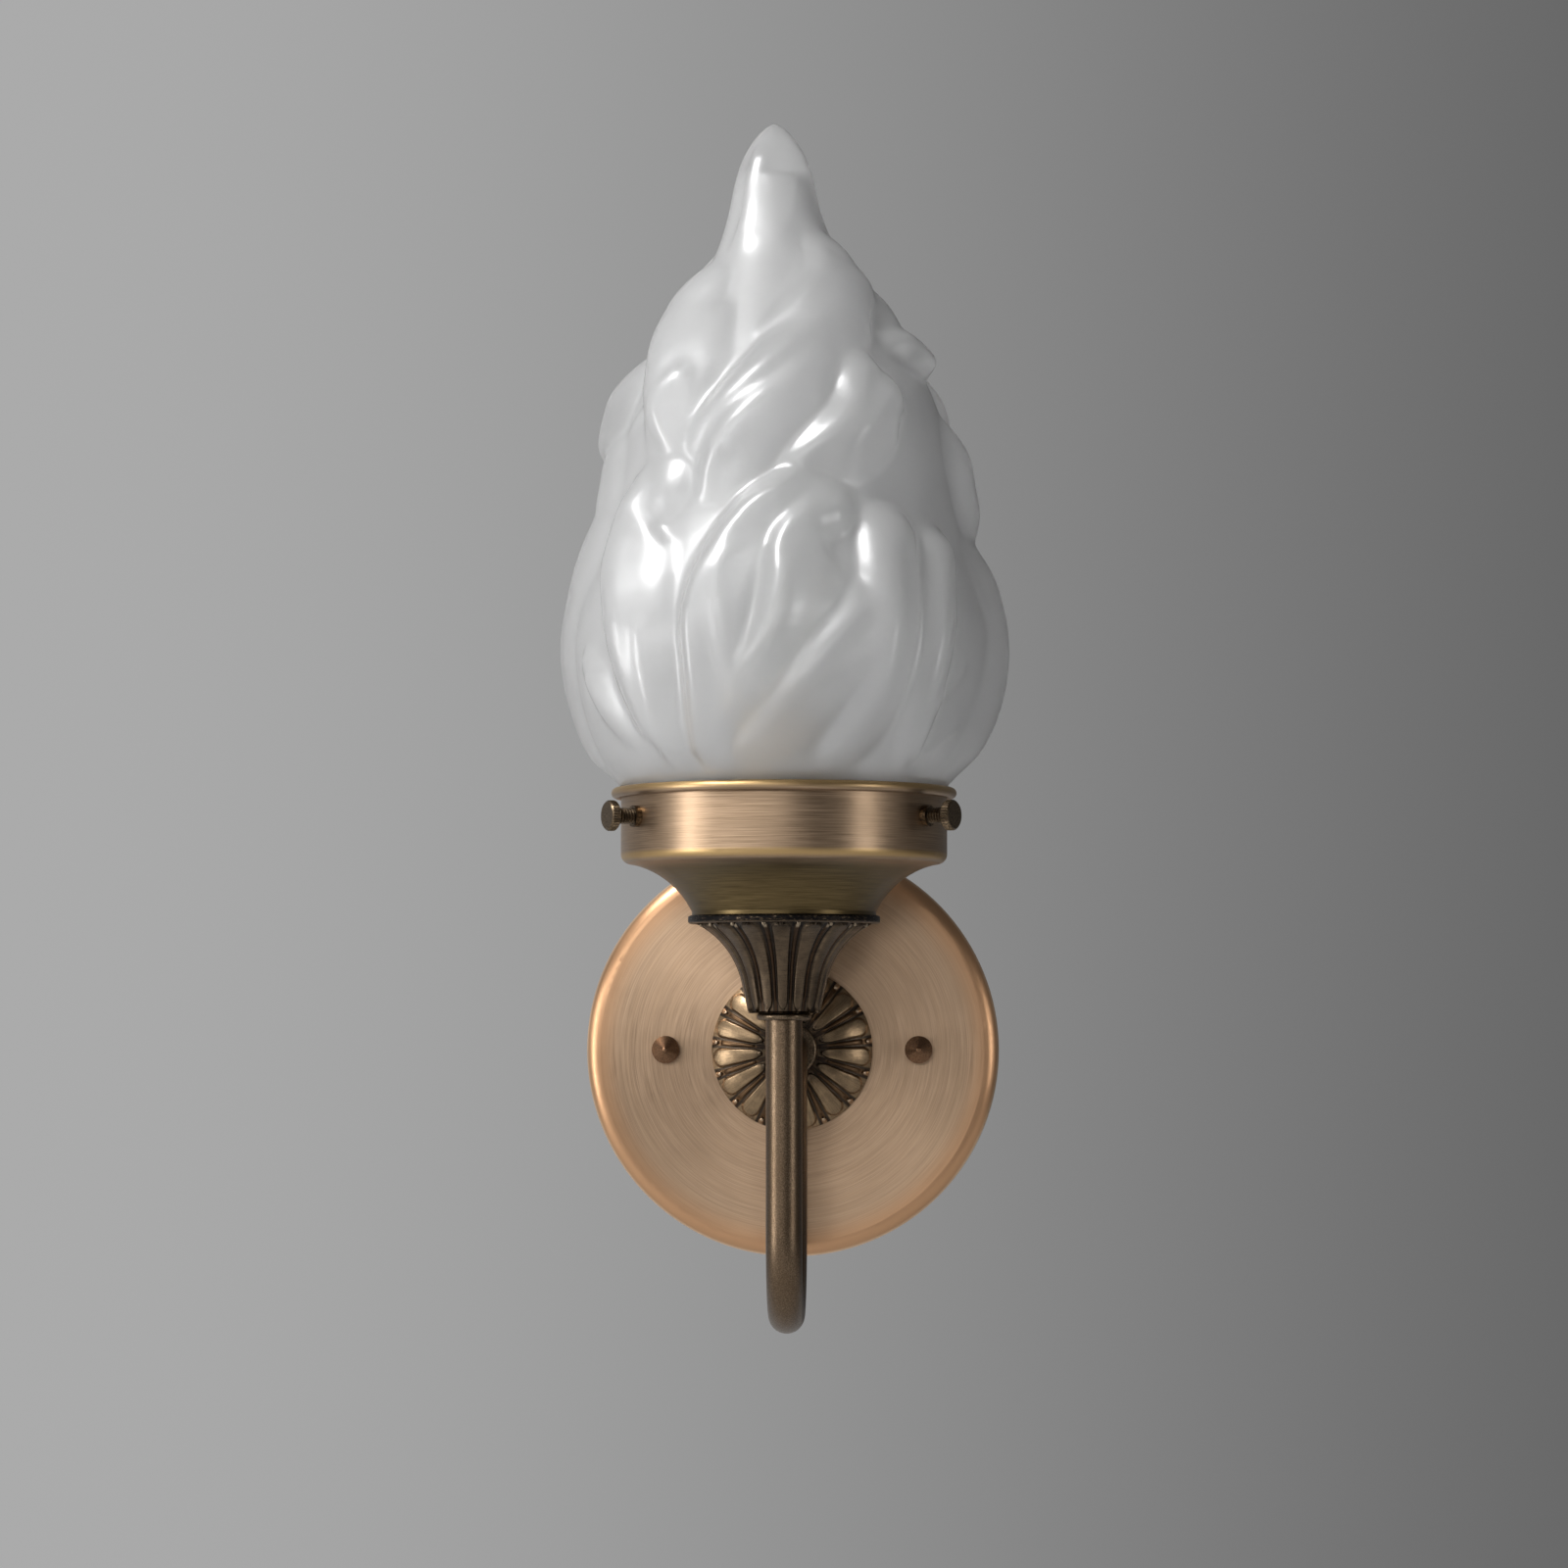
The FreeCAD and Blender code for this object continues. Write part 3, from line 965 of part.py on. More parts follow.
def glass_shade():
    """Flame-shaped shell on a round neck, with a lip that the screws hold."""
    leaves = [(spine_points(spine), *sizes, 0.5, 0.5) for spine, *sizes in LOW_LEAVES]
    leaves += [(spine_points(spine), *sizes, 0.0, 0.6) for spine, *sizes in HIGH_LEAVES]
    ridges = [(spine_points(spine), *sizes) for spine, *sizes in RIDGES]
    start = LIP_Z + LIP_HEIGHT + 1.5
    steps = [start + (SHADE_TOP_Z - start) * k / (SKIN_ROW_COUNT - 1) for k in range(SKIN_ROW_COUNT)]
    outer = skin_solid([ring_points(lambda d, z: shade_radius(leaves, ridges, d, z), z, lean_at(z),
                                    SKIN_COLUMN_COUNT) for z in steps])
    inner_rows = SKIN_ROW_COUNT // 2
    inner_length = SHADE_TOP_Z - CAVITY_BELOW_TIP - start + 1
    inner_steps = [start - 1 + inner_length * k / (inner_rows - 1) for k in range(inner_rows)]
    inner = skin_solid([ring_points(lambda d, z: max(0.8, valley_radius(z) - GLASS_WALL),
                                    z, lean_at(z), SKIN_COLUMN_COUNT // 4) for z in inner_steps])
    lip = FITTER_DIA / 2
    bore = NECK_R - GLASS_WALL
    sag = LIP_ROUND_R * (1 - math.sqrt(0.5))
    foot = turned([
        (bore, LIP_Z), (lip - LIP_ROUND_R, LIP_Z),
        (lip - sag, LIP_Z + sag, lip, LIP_Z + LIP_ROUND_R),
        (lip, LIP_Z + LIP_HEIGHT - LIP_PROUD), (NECK_R, LIP_Z + LIP_HEIGHT),
        (NECK_R, start), (bore, start)])
    return placed(outer.cut(inner).fuse(foot), CUP_AXIS)


# ---- the whole light --------------------------------------------------------
def pieces():
    yield "crossbar", crossbar()
    for name, side in (("left", -1), ("right", 1)):
        stud_at = V(side * STUD_SPACING / 2, 0, 0)
        stud_length = CANOPY_DEPTH + CAP_NUT_THREAD
        yield f"canopy_stud_{name}", placed(rod(STUD_R, 0, stud_length), stud_at, FROM_WALL)
        nut = hex_nut(STUD_NUT_ACROSS, STUD_R, CROSSBAR_THICK, STUD_NUT_THICK)
        yield f"stud_nut_{name}", placed(nut, stud_at, FROM_WALL)
        yield f"cap_nut_{name}", placed(cap_nut(), stud_at + V(0, -CANOPY_DEPTH, 0), FROM_WALL)
    yield "ground_screw", ground_screw()
    yield "canopy", canopy()
    yield "rosette", rosette()
    yield "lower_check_ring", placed(check_ring(LOWER_RING_THICK), V(0, -ROSETTE_DEPTH, 0), FROM_WALL)
    yield "arm_tube", arm_tube()
    washer = bush(ARM_WASHER_DIA / 2, PASS_R, CANOPY_INSIDE - ARM_WASHER_THICK, ARM_WASHER_THICK)
    yield "arm_washer", placed(washer, turn=FROM_WALL)
    yield "arm_nut", placed(hex_nut(ARM_NUT_ACROSS, TUBE_R, ARM_NUT_DEPTH, ARM_NUT_THICK), turn=FROM_WALL)
    for name, side in (("black", -1), ("white", 1)):
        yield f"{name}_lead", lead(side)
        yield f"{name}_wire_connector", wire_connector(side)
        yield f"{name}_terminal_screw", placed(terminal_screw(), CUP_AXIS + V(side * TERMINAL_X, 0, 0))
    yield "ground_lead", ground_lead()
    yield "upper_check_ring", placed(check_ring(UPPER_RING_THICK),
                                     CUP_AXIS + V(0, 0, CUP_BASE_Z - UPPER_RING_THICK))
    yield "cup", cup()
    yield "shade_holder", shade_holder()
    yield "holder_washer", placed(bush(HOLDER_WASHER_DIA / 2, PASS_R, HOLDER_FLOOR_Z, ARM_WASHER_THICK),
                                  CUP_AXIS)
    yield "holder_nut", placed(hex_nut(ARM_NUT_ACROSS, TUBE_R, HOLDER_NUT_Z, HOLDER_NUT_THICK), CUP_AXIS)
    for name, (at, turn) in zip(("right", "rear", "left"), screw_frames()):
        yield f"screw_boss_{name}", placed(screw_boss(), at, turn)
        yield f"thumb_screw_{name}", placed(thumb_screw(), at, turn)
        yield f"screw_tip_{name}", placed(screw_tip(), at, turn)
    for name, make in (
            ("socket_cap", socket_cap), ("socket_shell", socket_shell),
            ("insulating_sleeve", insulating_sleeve), ("socket_body", socket_body),
            ("screw_shell", screw_shell), ("centre_contact", centre_contact),
            ("bulb_button", bulb_button), ("bulb_insulator", bulb_insulator),
            ("bulb_base", bulb_base), ("bulb_glass", bulb_glass),
            ("bulb_stem", bulb_stem), ("bulb_filament", bulb_filament)):
        yield name, placed(make(), CUP_AXIS)
    yield "glass_shade", glass_shade()


os.makedirs("parts", exist_ok=True)
for node, shape in pieces():
    if len(shape.Solids) == 1:
        shape = shape.Solids[0]
    box = shape.BoundBox
    print(f"{node:24s} solids {len(shape.Solids)} valid {shape.isValid()} volume {shape.Volume:10.2f}"
          f"  x {box.XMin:8.2f} {box.XMax:8.2f}  y {box.YMin:8.2f} {box.YMax:8.2f}"
          f"  z {box.ZMin:8.2f} {box.ZMax:8.2f}")
    shape.exportStep(f"parts/{node}.step")
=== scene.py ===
import math

import bpy
import numpy as np
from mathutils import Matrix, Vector


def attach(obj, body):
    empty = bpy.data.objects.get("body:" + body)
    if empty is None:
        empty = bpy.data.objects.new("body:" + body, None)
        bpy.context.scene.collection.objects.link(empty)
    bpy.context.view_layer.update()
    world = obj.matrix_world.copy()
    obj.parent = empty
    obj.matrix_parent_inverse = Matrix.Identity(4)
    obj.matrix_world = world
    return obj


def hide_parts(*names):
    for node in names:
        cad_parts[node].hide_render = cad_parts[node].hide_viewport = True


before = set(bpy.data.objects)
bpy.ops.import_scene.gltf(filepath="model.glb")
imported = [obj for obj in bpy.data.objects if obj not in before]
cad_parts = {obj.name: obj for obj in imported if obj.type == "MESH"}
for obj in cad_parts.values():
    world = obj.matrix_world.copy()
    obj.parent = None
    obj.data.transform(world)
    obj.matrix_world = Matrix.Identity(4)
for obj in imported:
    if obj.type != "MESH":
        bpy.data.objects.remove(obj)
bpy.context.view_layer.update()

# Lengths are in millimetres here and turn to metres where a mesh or a lamp is made.
MM = 0.001

# ---- sizes, as in the solids ------------------------------------------------
REACH = 86.0                    # wall to the cup's axis
RIM_Z = 67.35                   # middle of the holder's rolled rim
RIM_BEAD_R = 1.35
TIP_Z = 244.2
NECK_R = 40.075
LIP_R = 41.275
LIP_Z = 50.2
LIP_HEIGHT = 4.0
LIP_ROUND_R = 1.2
GLASS_WALL = 3.0
CAVITY_TOP_Z = 230.0
SHADE_LEAN = 2.5
LEAVES_FADE = 9.0
LEAN_START = 185                # the tip leans over from this height
LEAN_SPAN = 40
LEAF_HOLLOW = 0.32
LEAF_POWER = 5                  # how sharply one leaf gives way to the next
LOW_START = (0.5, 0.5)          # share of a leaf's height at its foot, and how far up
HIGH_START = (0.0, 0.6)         # its spine it is full height
SHADE_INSET = 0.93              # keeps the finely cut leaves within the solid's box
SKIN_RISE = 1.5                 # from the lip's top to the first row of leaves
SKIN_COLUMNS = 360
SKIN_ROWS = 400
SKIN_BLUR = (1.2, 2.6)          # in columns and rows
CAVITY_ROWS = 90
CAVITY_LEAST_R = 0.8
CANOPY_DEPTH = 19.05
TUBE_HOLE_R = 4.8625
ROSETTE_R = 22.2
ROSETTE_RIM = 1.2
ROSETTE_LAND_R = 7.6
ROSETTE_HEIGHT = 7.6
ROSETTE_BULGE = (1.6, 0.68)     # the dome's middle: how far out, and share of the height
ROSETTE_BEAD_R = 0.72
RELIEF = 0.9                    # petals of the rosette stand this far out
CUP_BASE = (9.4, 10.0)          # radius and height of the cup's base, waist, throat and mouth
CUP_WAIST = (11.3, 18.5)
CUP_THROAT = (15.1, 26.6)
CUP_MOUTH = (23.1, 33.3)
CUP_WALL = 3.0
CUP_FLOOR_TOP = 20.4
CUP_BEAD_R = 0.62
CUP_RELIEF = 0.8
FLANGE_R = 25.1
FLANGE_TOP = 35.4
PETALS = 15                     # round the rosette, and ribs round the cup
PETAL_TURN = math.radians(95.5)
PETAL_SHARE = 0.70              # of the way to the next petal that a petal fills
RIB_SHARE = (0.80, 0.13)        # where the sunk rib starts, and the width of its edge
RELIEF_COLUMNS = 900
BRUSH_WRAP = 40.0               # radius at which brush lines are wound round an axis

# ---- the flame, in heights above the origin and degrees from the front ------
# radius of the valleys between the leaves
SHADE_VALLEYS = [
    (64.0, 40.05), (67.0, 40.9), (69.0, 42.6), (71.0, 44.2), (76.0, 47.6), (84.0, 51.2),
    (96.0, 54.2), (108.0, 54.8), (120.0, 52.4), (132.0, 48.2), (146.0, 45.0), (160.0, 42.6),
    (172.0, 38.8), (182.0, 33.6), (192.0, 27.4), (202.0, 21.0), (211.0, 15.6), (220.0, 12.3),
    (229.0, 10.3), (235.0, 8.3), (240.0, 5.4), (243.0, 2.6), (244.2, 0.8),
]
# each leaf: spine from base to tip, width on its left, on its right, and its height
# and the share of that left at its tip
LOW_LEAVES = [
    ([(-96, 68), (-100, 92), (-97, 118), (-90, 130)], 18.0, 18.0, 5.6, 1.0),
    ([(-40, 82), (-43, 95), (-47, 113), (-53, 128), (-50, 140), (-41, 144)], 7.0, 18.0, 6.4, 0.5),
    ([(-52, 81), (-58, 90), (-63, 99)], 5.0, 9.0, 3.4, 0.6),
    ([(-24, 76), (-22, 94), (-22, 111), (-17, 126), (-7, 138), (3, 142), (10, 141)],
     4.5, 17.0, 6.6, 0.45),
    ([(-12, 91), (-14, 106), (-15, 117), (-13, 125), (-6, 128)], 4.0, 9.0, 6.6, 0.7),
    ([(-12, 90), (-4, 103), (0, 116), (1, 128), (7, 135), (15, 137)], 4.5, 17.0, 7.4, 0.7),
    ([(-8, 76), (7, 88), (20, 96), (27, 103)], 11.0, 11.0, 5.6, 1.0),
    ([(-3, 81), (7, 94), (18, 106), (25, 112)], 6.0, 14.0, 5.2, 0.8),
    ([(18, 74), (26, 88), (30, 107), (32, 124), (34, 130)], 9.0, 10.5, 7.0, 1.0),
    ([(42, 76), (43, 93), (47, 113), (52, 128)], 7.0, 8.0, 6.0, 1.0),
    ([(74, 68), (84, 84), (90, 106), (88, 122)], 14.0, 16.0, 4.4, 1.0),
    ([(118, 68), (112, 90), (114, 112), (110, 126)], 13.0, 15.0, 5.2, 1.0),
    ([(138, 70), (134, 92), (138, 114), (132, 134)], 10.0, 15.0, 5.6, 1.0),
    ([(160, 72), (156, 94), (162, 116), (170, 132)], 8.0, 16.0, 5.4, 1.0),
    ([(182, 70), (178, 92), (184, 112), (194, 128)], 8.0, 16.0, 5.2, 1.0),
    ([(205, 70), (206, 92), (212, 114), (220, 136)], 9.0, 15.0, 5.6, 1.0),
    ([(232, 68), (238, 90), (236, 112), (232, 128)], 12.0, 15.0, 5.2, 1.0),
]
HIGH_LEAVES = [
    ([(-98, 150), (-96, 160), (-90, 171)], 14.0, 14.0, 7.8, 1.0),
    ([(-80, 134), (-82, 152)], 11.0, 11.0, 4.2, 1.0),
    ([(-43, 150), (-44, 163), (-49, 177), (-58, 187), (-62, 195)], 10.0, 17.0, 7.6, 0.9),
    ([(-35, 148), (-42, 158), (-45, 166), (-39, 173), (-30, 177)], 5.0, 12.0, 6.2, 0.3),
    ([(-33, 150), (-24, 160), (-11, 170), (5, 181), (28, 193), (50, 200)], 6.0, 16.0, 7.6, 0.9),
    ([(-10, 182), (8, 190), (26, 197), (51, 207)], 6.0, 12.0, 7.0, 0.8),
    ([(-23, 138), (-22, 147), (-16, 157), (-6, 165), (5, 171), (13, 177)], 5.5, 15.0, 7.4, 0.9),
    ([(0, 146), (14, 154), (25, 163), (31, 173)], 7.0, 9.0, 7.6, 0.9),
    ([(11, 146), (25, 157), (38, 167)], 7.0, 12.0, 8.0, 0.9),
    ([(92, 130), (92, 153)], 13.0, 15.0, 6.2, 1.0),
    ([(48, 184), (64, 184), (76, 181)], 6.0, 7.0, 7.4, 1.0),
    ([(66, 184), (74, 194)], 9.0, 10.0, 3.6, 1.0),
    ([(112, 126), (118, 148), (112, 170)], 12.0, 14.0, 5.8, 1.0),
    ([(138, 132), (146, 152), (158, 172), (168, 182)], 8.0, 16.0, 6.4, 1.0),
    ([(172, 130), (182, 150), (196, 168), (204, 178)], 8.0, 16.0, 6.4, 1.0),
    ([(208, 128), (220, 148), (232, 164), (236, 176)], 9.0, 15.0, 6.0, 1.0),
    ([(130, 164), (146, 182), (166, 196), (186, 206)], 8.0, 15.0, 6.6, 1.0),
    ([(196, 172), (216, 188), (240, 202)], 9.0, 14.0, 6.4, 1.0),
]
# each fine ridge: the same
RIDGES = [
    ([(19, 132), (20, 126), (18, 118), (12, 110)], 1.2, 1.2, 1.0),
    ([(-6, 94), (2, 108), (4, 122), (10, 132)], 1.5, 2.5, 1.0),
    ([(-36, 79), (-36, 92), (-37, 109)], 1.6, 2.2, 1.3),
    ([(-44, 208), (-33, 218), (-32, 227), (-28, 238)], 1.8, 6.0, 1.5),
    ([(-2, 210), (19, 218), (31, 228)], 6.0, 1.8, 0.8),
    ([(-4, 192), (9, 199), (25, 208)], 1.2, 1.6, 1.0),
    ([(5, 192), (22, 200), (40, 209)], 1.2, 1.6, 1.0),
    ([(42, 83), (53, 92), (60, 99)], 1.3, 1.3, 1.0),
    ([(41, 72), (52, 77), (63, 84)], 1.3, 1.3, 1.0),
    ([(-69, 160), (-59, 166), (-56, 172)], 1.0, 1.0, 0.8),
    ([(150, 84), (146, 106), (156, 128), (168, 140)], 1.6, 4.0, 2.0),
    ([(174, 80), (170, 104), (180, 126), (192, 136)], 1.6, 4.0, 2.0),
    ([(134, 140), (142, 160), (158, 178), (170, 188)], 1.6, 4.0, 2.0),
    ([(170, 140), (180, 158), (196, 174), (208, 184)], 1.6, 4.0, 2.0),
    ([(130, 170), (144, 186), (166, 200), (190, 210)], 1.6, 4.0, 1.8),
    ([(198, 180), (216, 194), (240, 208)], 1.6, 4.0, 1.6),
]


def placed(name, data):
    """A new object of this name, linked to the scene."""
    piece = bpy.data.objects.new(name, data)
    bpy.context.scene.collection.objects.link(piece)
    return piece


# ---- the flame's skin -------------------------------------------------------
def smooth(table, x):
    """Cubic curve through a table of (x, y), held at both ends."""
    xs = np.array([p[0] for p in table], float)
    ys = np.array([p[1] for p in table], float)
    slopes = np.empty(len(xs))
    slopes[1:-1] = (ys[2:] - ys[:-2]) / (xs[2:] - xs[:-2])
    slopes[0] = (ys[1] - ys[0]) / (xs[1] - xs[0])
    slopes[-1] = (ys[-1] - ys[-2]) / (xs[-1] - xs[-2])
    x = np.clip(np.asarray(x, float), xs[0], xs[-1])
    i = np.clip(np.searchsorted(xs, x), 1, len(xs) - 1)
    span = xs[i] - xs[i - 1]
    t = (x - xs[i - 1]) / span
    return ((2 * t ** 3 - 3 * t ** 2 + 1) * ys[i - 1]
            + (t ** 3 - 2 * t ** 2 + t) * span * slopes[i - 1]
            + (3 * t ** 2 - 2 * t ** 3) * ys[i] + (t ** 3 - t ** 2) * span * slopes[i])


def ease(t):
    """Soft step from 0 to 1."""
    t = np.clip(t, 0, 1)
    return t * t * (3 - 2 * t)


def valley_radius(height):
    """Radius between the leaves, which meets the neck at the bottom of the table."""
    return smooth(SHADE_VALLEYS, height) * NECK_R / SHADE_VALLEYS[0][1]


def nearest(spine, reach, deg, height):
    """Where a spine is near: a mask, and there the distance from it, the side
    (-1 left, 1 right) and the share of the way along it."""
    stops = np.linspace(0, 1, len(spine))
    shares = np.linspace(0, 1, 15)
    degs = smooth(list(zip(stops, [p[0] for p in spine])), shares)
    heights = smooth(list(zip(stops, [p[1] for p in spine])), shares)
    arc = math.radians(1) * smooth(SHADE_VALLEYS, height)
    middle = (degs.min() + degs.max()) / 2
    away = (deg - middle + 180) % 360 - 180
    near = ((height > heights.min() - reach) & (height < heights.max() + reach)
            & (np.abs(away) * arc < (degs.max() - degs.min()) / 2 * arc + reach))
    x = (away * arc)[near]
    z = height[near]
    arc = arc[near]
    gap = np.full(x.shape, 1e9)
    side = np.ones(x.shape)
    share = np.zeros(x.shape)
    for k in range(len(shares) - 1):
        ax = (degs[k] - middle) * arc - x
        bx = (degs[k + 1] - middle) * arc - x
        az = heights[k] - z
        dx = bx - ax
        dz = heights[k + 1] - heights[k]
        along = np.clip(-(ax * dx + az * dz) / (dx * dx + dz * dz), 0, 1)
        here = np.hypot(ax + along * dx, az + along * dz)
        closer = here < gap
        gap = np.where(closer, here, gap)
        side = np.where(closer, np.where(ax * dz - az * dx > 0, -1.0, 1.0), side)
        share = np.where(closer, shares[k] + along * (shares[k + 1] - shares[k]), share)
    return near, gap, side, share


def leaf_rise(leaf, start, deg, height):
    """How far a leaf stands above the valleys: a crest along its spine that falls
    steeply to the left, and a shallow hollow with a soft edge to the right of it."""
    spine, left, right, proud, tip = leaf
    foot, growth = start
    near, gap, side, share = nearest(spine, max(left, right), deg, height)
    ending = ease((share - 0.72) / 0.28)
    tip_width = left + 0.3 * (right - left)
    width = np.where(side < 0, left, right) * (1 - ending) + tip_width * ending
    width *= 0.6 + 0.4 * np.sin(math.pi / 2 * np.minimum(1, share / 0.5))
    q = np.minimum(1, gap / width)
    crest = proud * (foot + (1 - foot) * np.sin(math.pi / 2 * np.minimum(1, share / growth)))
    crest *= 1 - (1 - tip) * ease((share - 0.75) / 0.25)
    steep = 1 - q ** 1.8
    hollow = LEAF_HOLLOW * (1 - np.exp(-(q / 0.3) ** 2)) * ease(share / 0.3)
    soft = (1 - hollow) * (1 - q ** 2.6)
    rise = np.zeros(near.shape)
    rise[near] = crest * np.where(side < 0, steep, soft * (1 - ending) + steep * ending)
    return rise


def ridge_rise(ridge, deg, height):
    """A fine ridge with soft sides, which fades at its ends."""
    spine, left, right, proud = ridge
    near, gap, side, share = nearest(spine, 3 * max(left, right), deg, height)
    taper = np.minimum(1, 0.15 + np.minimum(share / 0.25, (1 - share) / 0.12))
    rise = np.zeros(near.shape)
    rise[near] = proud * taper * np.exp(-(gap / np.where(side < 0, left, right)) ** 2)
    return rise


def softened(grid, columns, rows):
    """The grid blurred a little, round and round its columns and up its rows."""
    for axis, sigma in ((1, columns), (0, rows)):
        reach = int(math.ceil(3 * sigma))
        weights = np.exp(-0.5 * (np.arange(-reach, reach + 1) / sigma) ** 2)
        weights /= weights.sum()
        mode = "wrap" if axis == 1 else "edge"
        pad = [(0, 0), (0, 0)]
        pad[axis] = (reach, reach)
        padded = np.pad(grid, pad, mode=mode)
        window = np.arange(grid.shape[axis])
        grid = sum(w * np.take(padded, window + k, axis) for k, w in enumerate(weights))
    return grid


def shade_rings():
    """The glass as rings of points from the top of the cavity down its inside, round
    the lip and up the outside to the tip: radii, heights and how far each ring leans."""
    degs = np.linspace(0, 360, SKIN_COLUMNS, endpoint=False) + 180
    lip_top = LIP_Z + LIP_HEIGHT
    heights = np.linspace(lip_top + SKIN_RISE, TIP_Z, SKIN_ROWS)
    deg, height = np.meshgrid(degs, heights)
    total = sum(leaf_rise(leaf, LOW_START, deg, height) ** LEAF_POWER for leaf in LOW_LEAVES)
    total += sum(leaf_rise(leaf, HIGH_START, deg, height) ** LEAF_POWER for leaf in HIGH_LEAVES)
    rise = total ** (1 / LEAF_POWER) + sum(ridge_rise(ridge, deg, height) for ridge in RIDGES)
    fade = ease((height - RIM_Z - RIM_BEAD_R) / LEAVES_FADE)
    outside = valley_radius(height) + SHADE_INSET * softened(rise, *SKIN_BLUR) * fade
    cavity_heights = np.linspace(CAVITY_TOP_Z, LIP_Z, CAVITY_ROWS)
    cavity = np.maximum(CAVITY_LEAST_R, valley_radius(cavity_heights) - GLASS_WALL)
    lip = [(LIP_R - LIP_ROUND_R + LIP_ROUND_R * math.sin(turn),
            LIP_Z + LIP_ROUND_R - LIP_ROUND_R * math.cos(turn))
           for turn in (k * math.pi / 12 for k in range(7))]
    lip += [(LIP_R, lip_top - (LIP_R - NECK_R)), (NECK_R, lip_top)]
    flat = np.ones((1, SKIN_COLUMNS))
    radii = np.vstack([cavity[:, None] * flat] + [r * flat for r, _ in lip] + [outside])
    heights = np.concatenate([cavity_heights, [z for _, z in lip], heights])
    return degs, radii, heights, -SHADE_LEAN * ease((heights - LEAN_START) / LEAN_SPAN)


def flame_shade():
    """The glass, closed by a fan of faces at the top of its cavity and at its tip."""
    degs, radii, heights, leans = shade_rings()
    angles = np.radians(degs)
    x = leans[:, None] + radii * np.sin(angles)
    y = -REACH - radii * np.cos(angles)
    z = heights[:, None] * np.ones_like(radii)
    points = np.stack([x, y, z], -1).reshape(-1, 3)
    rows, columns = radii.shape
    ends = np.array([[leans[0], -REACH, heights[0]], [leans[-1], -REACH, heights[-1]]])
    points = np.vstack([points, ends]) * MM
    here = np.arange(columns)
    after = (here + 1) % columns
    faces = []
    for row in range(rows - 1):
        low, high = row * columns, (row + 1) * columns
        faces += np.stack([low + here, low + after, high + after, high + here], 1).tolist()
    first, last = rows * columns, rows * columns + 1
    top = (rows - 1) * columns
    around = list(zip(here.tolist(), after.tolist()))
    faces += [[first, b, a] for a, b in around]
    faces += [[top + a, top + b, last] for a, b in around]
    mesh = bpy.data.meshes.new("flame_shade")
    mesh.from_pydata(points.tolist(), [], faces)
    mesh.validate()
    mesh.shade_smooth()
    return placed("flame_shade", mesh)


# ---- cast reliefs -----------------------------------------------------------
def circle_through(a, b, c):
    """Centre and radius of the circle through three (x, y) points."""
    d = 2 * (a[0] * (b[1] - c[1]) + b[0] * (c[1] - a[1]) + c[0] * (a[1] - b[1]))
    sa, sb, sc = (p[0] ** 2 + p[1] ** 2 for p in (a, b, c))
    x = (sa * (b[1] - c[1]) + sb * (c[1] - a[1]) + sc * (a[1] - b[1])) / d
    y = (sa * (c[0] - b[0]) + sb * (a[0] - c[0]) + sc * (b[0] - a[0])) / d
    return x, y, math.hypot(a[0] - x, a[1] - y)


def volume_of(points, faces):
    """Signed volume inside a closed mesh of quads."""
    p = points.reshape(-1, 3)
    a, b, c, d = (p[faces.reshape(-1, 4)[:, k]] for k in range(4))
    return float(np.sum(a * np.cross(b, c)) + np.sum(a * np.cross(c, d))) / 6


def closed_ring(name, points):
    """Mesh through rows of points, each row a ring, with the last row joined to the
    first. Points are (rows, columns, 3) in mm."""
    rows, columns, _ = points.shape
    index = np.arange(rows * columns).reshape(rows, columns)
    after = np.roll(index, -1, 1)
    faces = np.stack([index, after, np.roll(after, -1, 0), np.roll(index, -1, 0)], -1)
    mesh = bpy.data.meshes.new(name)
    mesh.from_pydata((points.reshape(-1, 3) * MM).tolist(), [], faces.reshape(-1, 4).tolist())
    mesh.update()
    if volume_of(points, faces) < 0:
        mesh.flip_normals()
    mesh.shade_smooth()
    mesh.set_sharp_from_angle(angle=math.radians(50))
    return placed(name, mesh)


def between(angle):
    """0 in the middle of a petal or rib, 1 half way to the next."""
    return np.arccos(np.clip(np.cos(angle * PETALS), -1, 1)) / math.pi


def tongue(v, ends):
    """A broad raised petal with a slight dome, narrowed towards its ends."""
    share = v / np.maximum(PETAL_SHARE * ends, 1e-3)
    return (1 - ease((share - 0.72) / 0.28)) * (1 - 0.22 * np.minimum(1, share) ** 2)


def round_end(along, start, stop, length):
    """Width left near the two ends of a petal, as a share."""
    low = np.clip((start + length - along) / length, 0, 1)
    high = np.clip((along - stop + length) / length, 0, 1)
    return np.sqrt(np.maximum(0, 1 - low ** 2)) * np.sqrt(np.maximum(0, 1 - high ** 2))


def sunk_rib(v, ends):
    """1 on the narrow rib between two petals, with a soft edge."""
    start, edge = RIB_SHARE
    return ease((v - start) / edge) * ends


def with_bead(rise, base, radius, across, along):
    """The rise with a round bead on it, by the distances from the bead's middle."""
    bead = radius ** 2 - across ** 2 - along ** 2
    return np.maximum(rise, np.where(bead > 0, base + np.sqrt(np.maximum(0, bead)), 0))


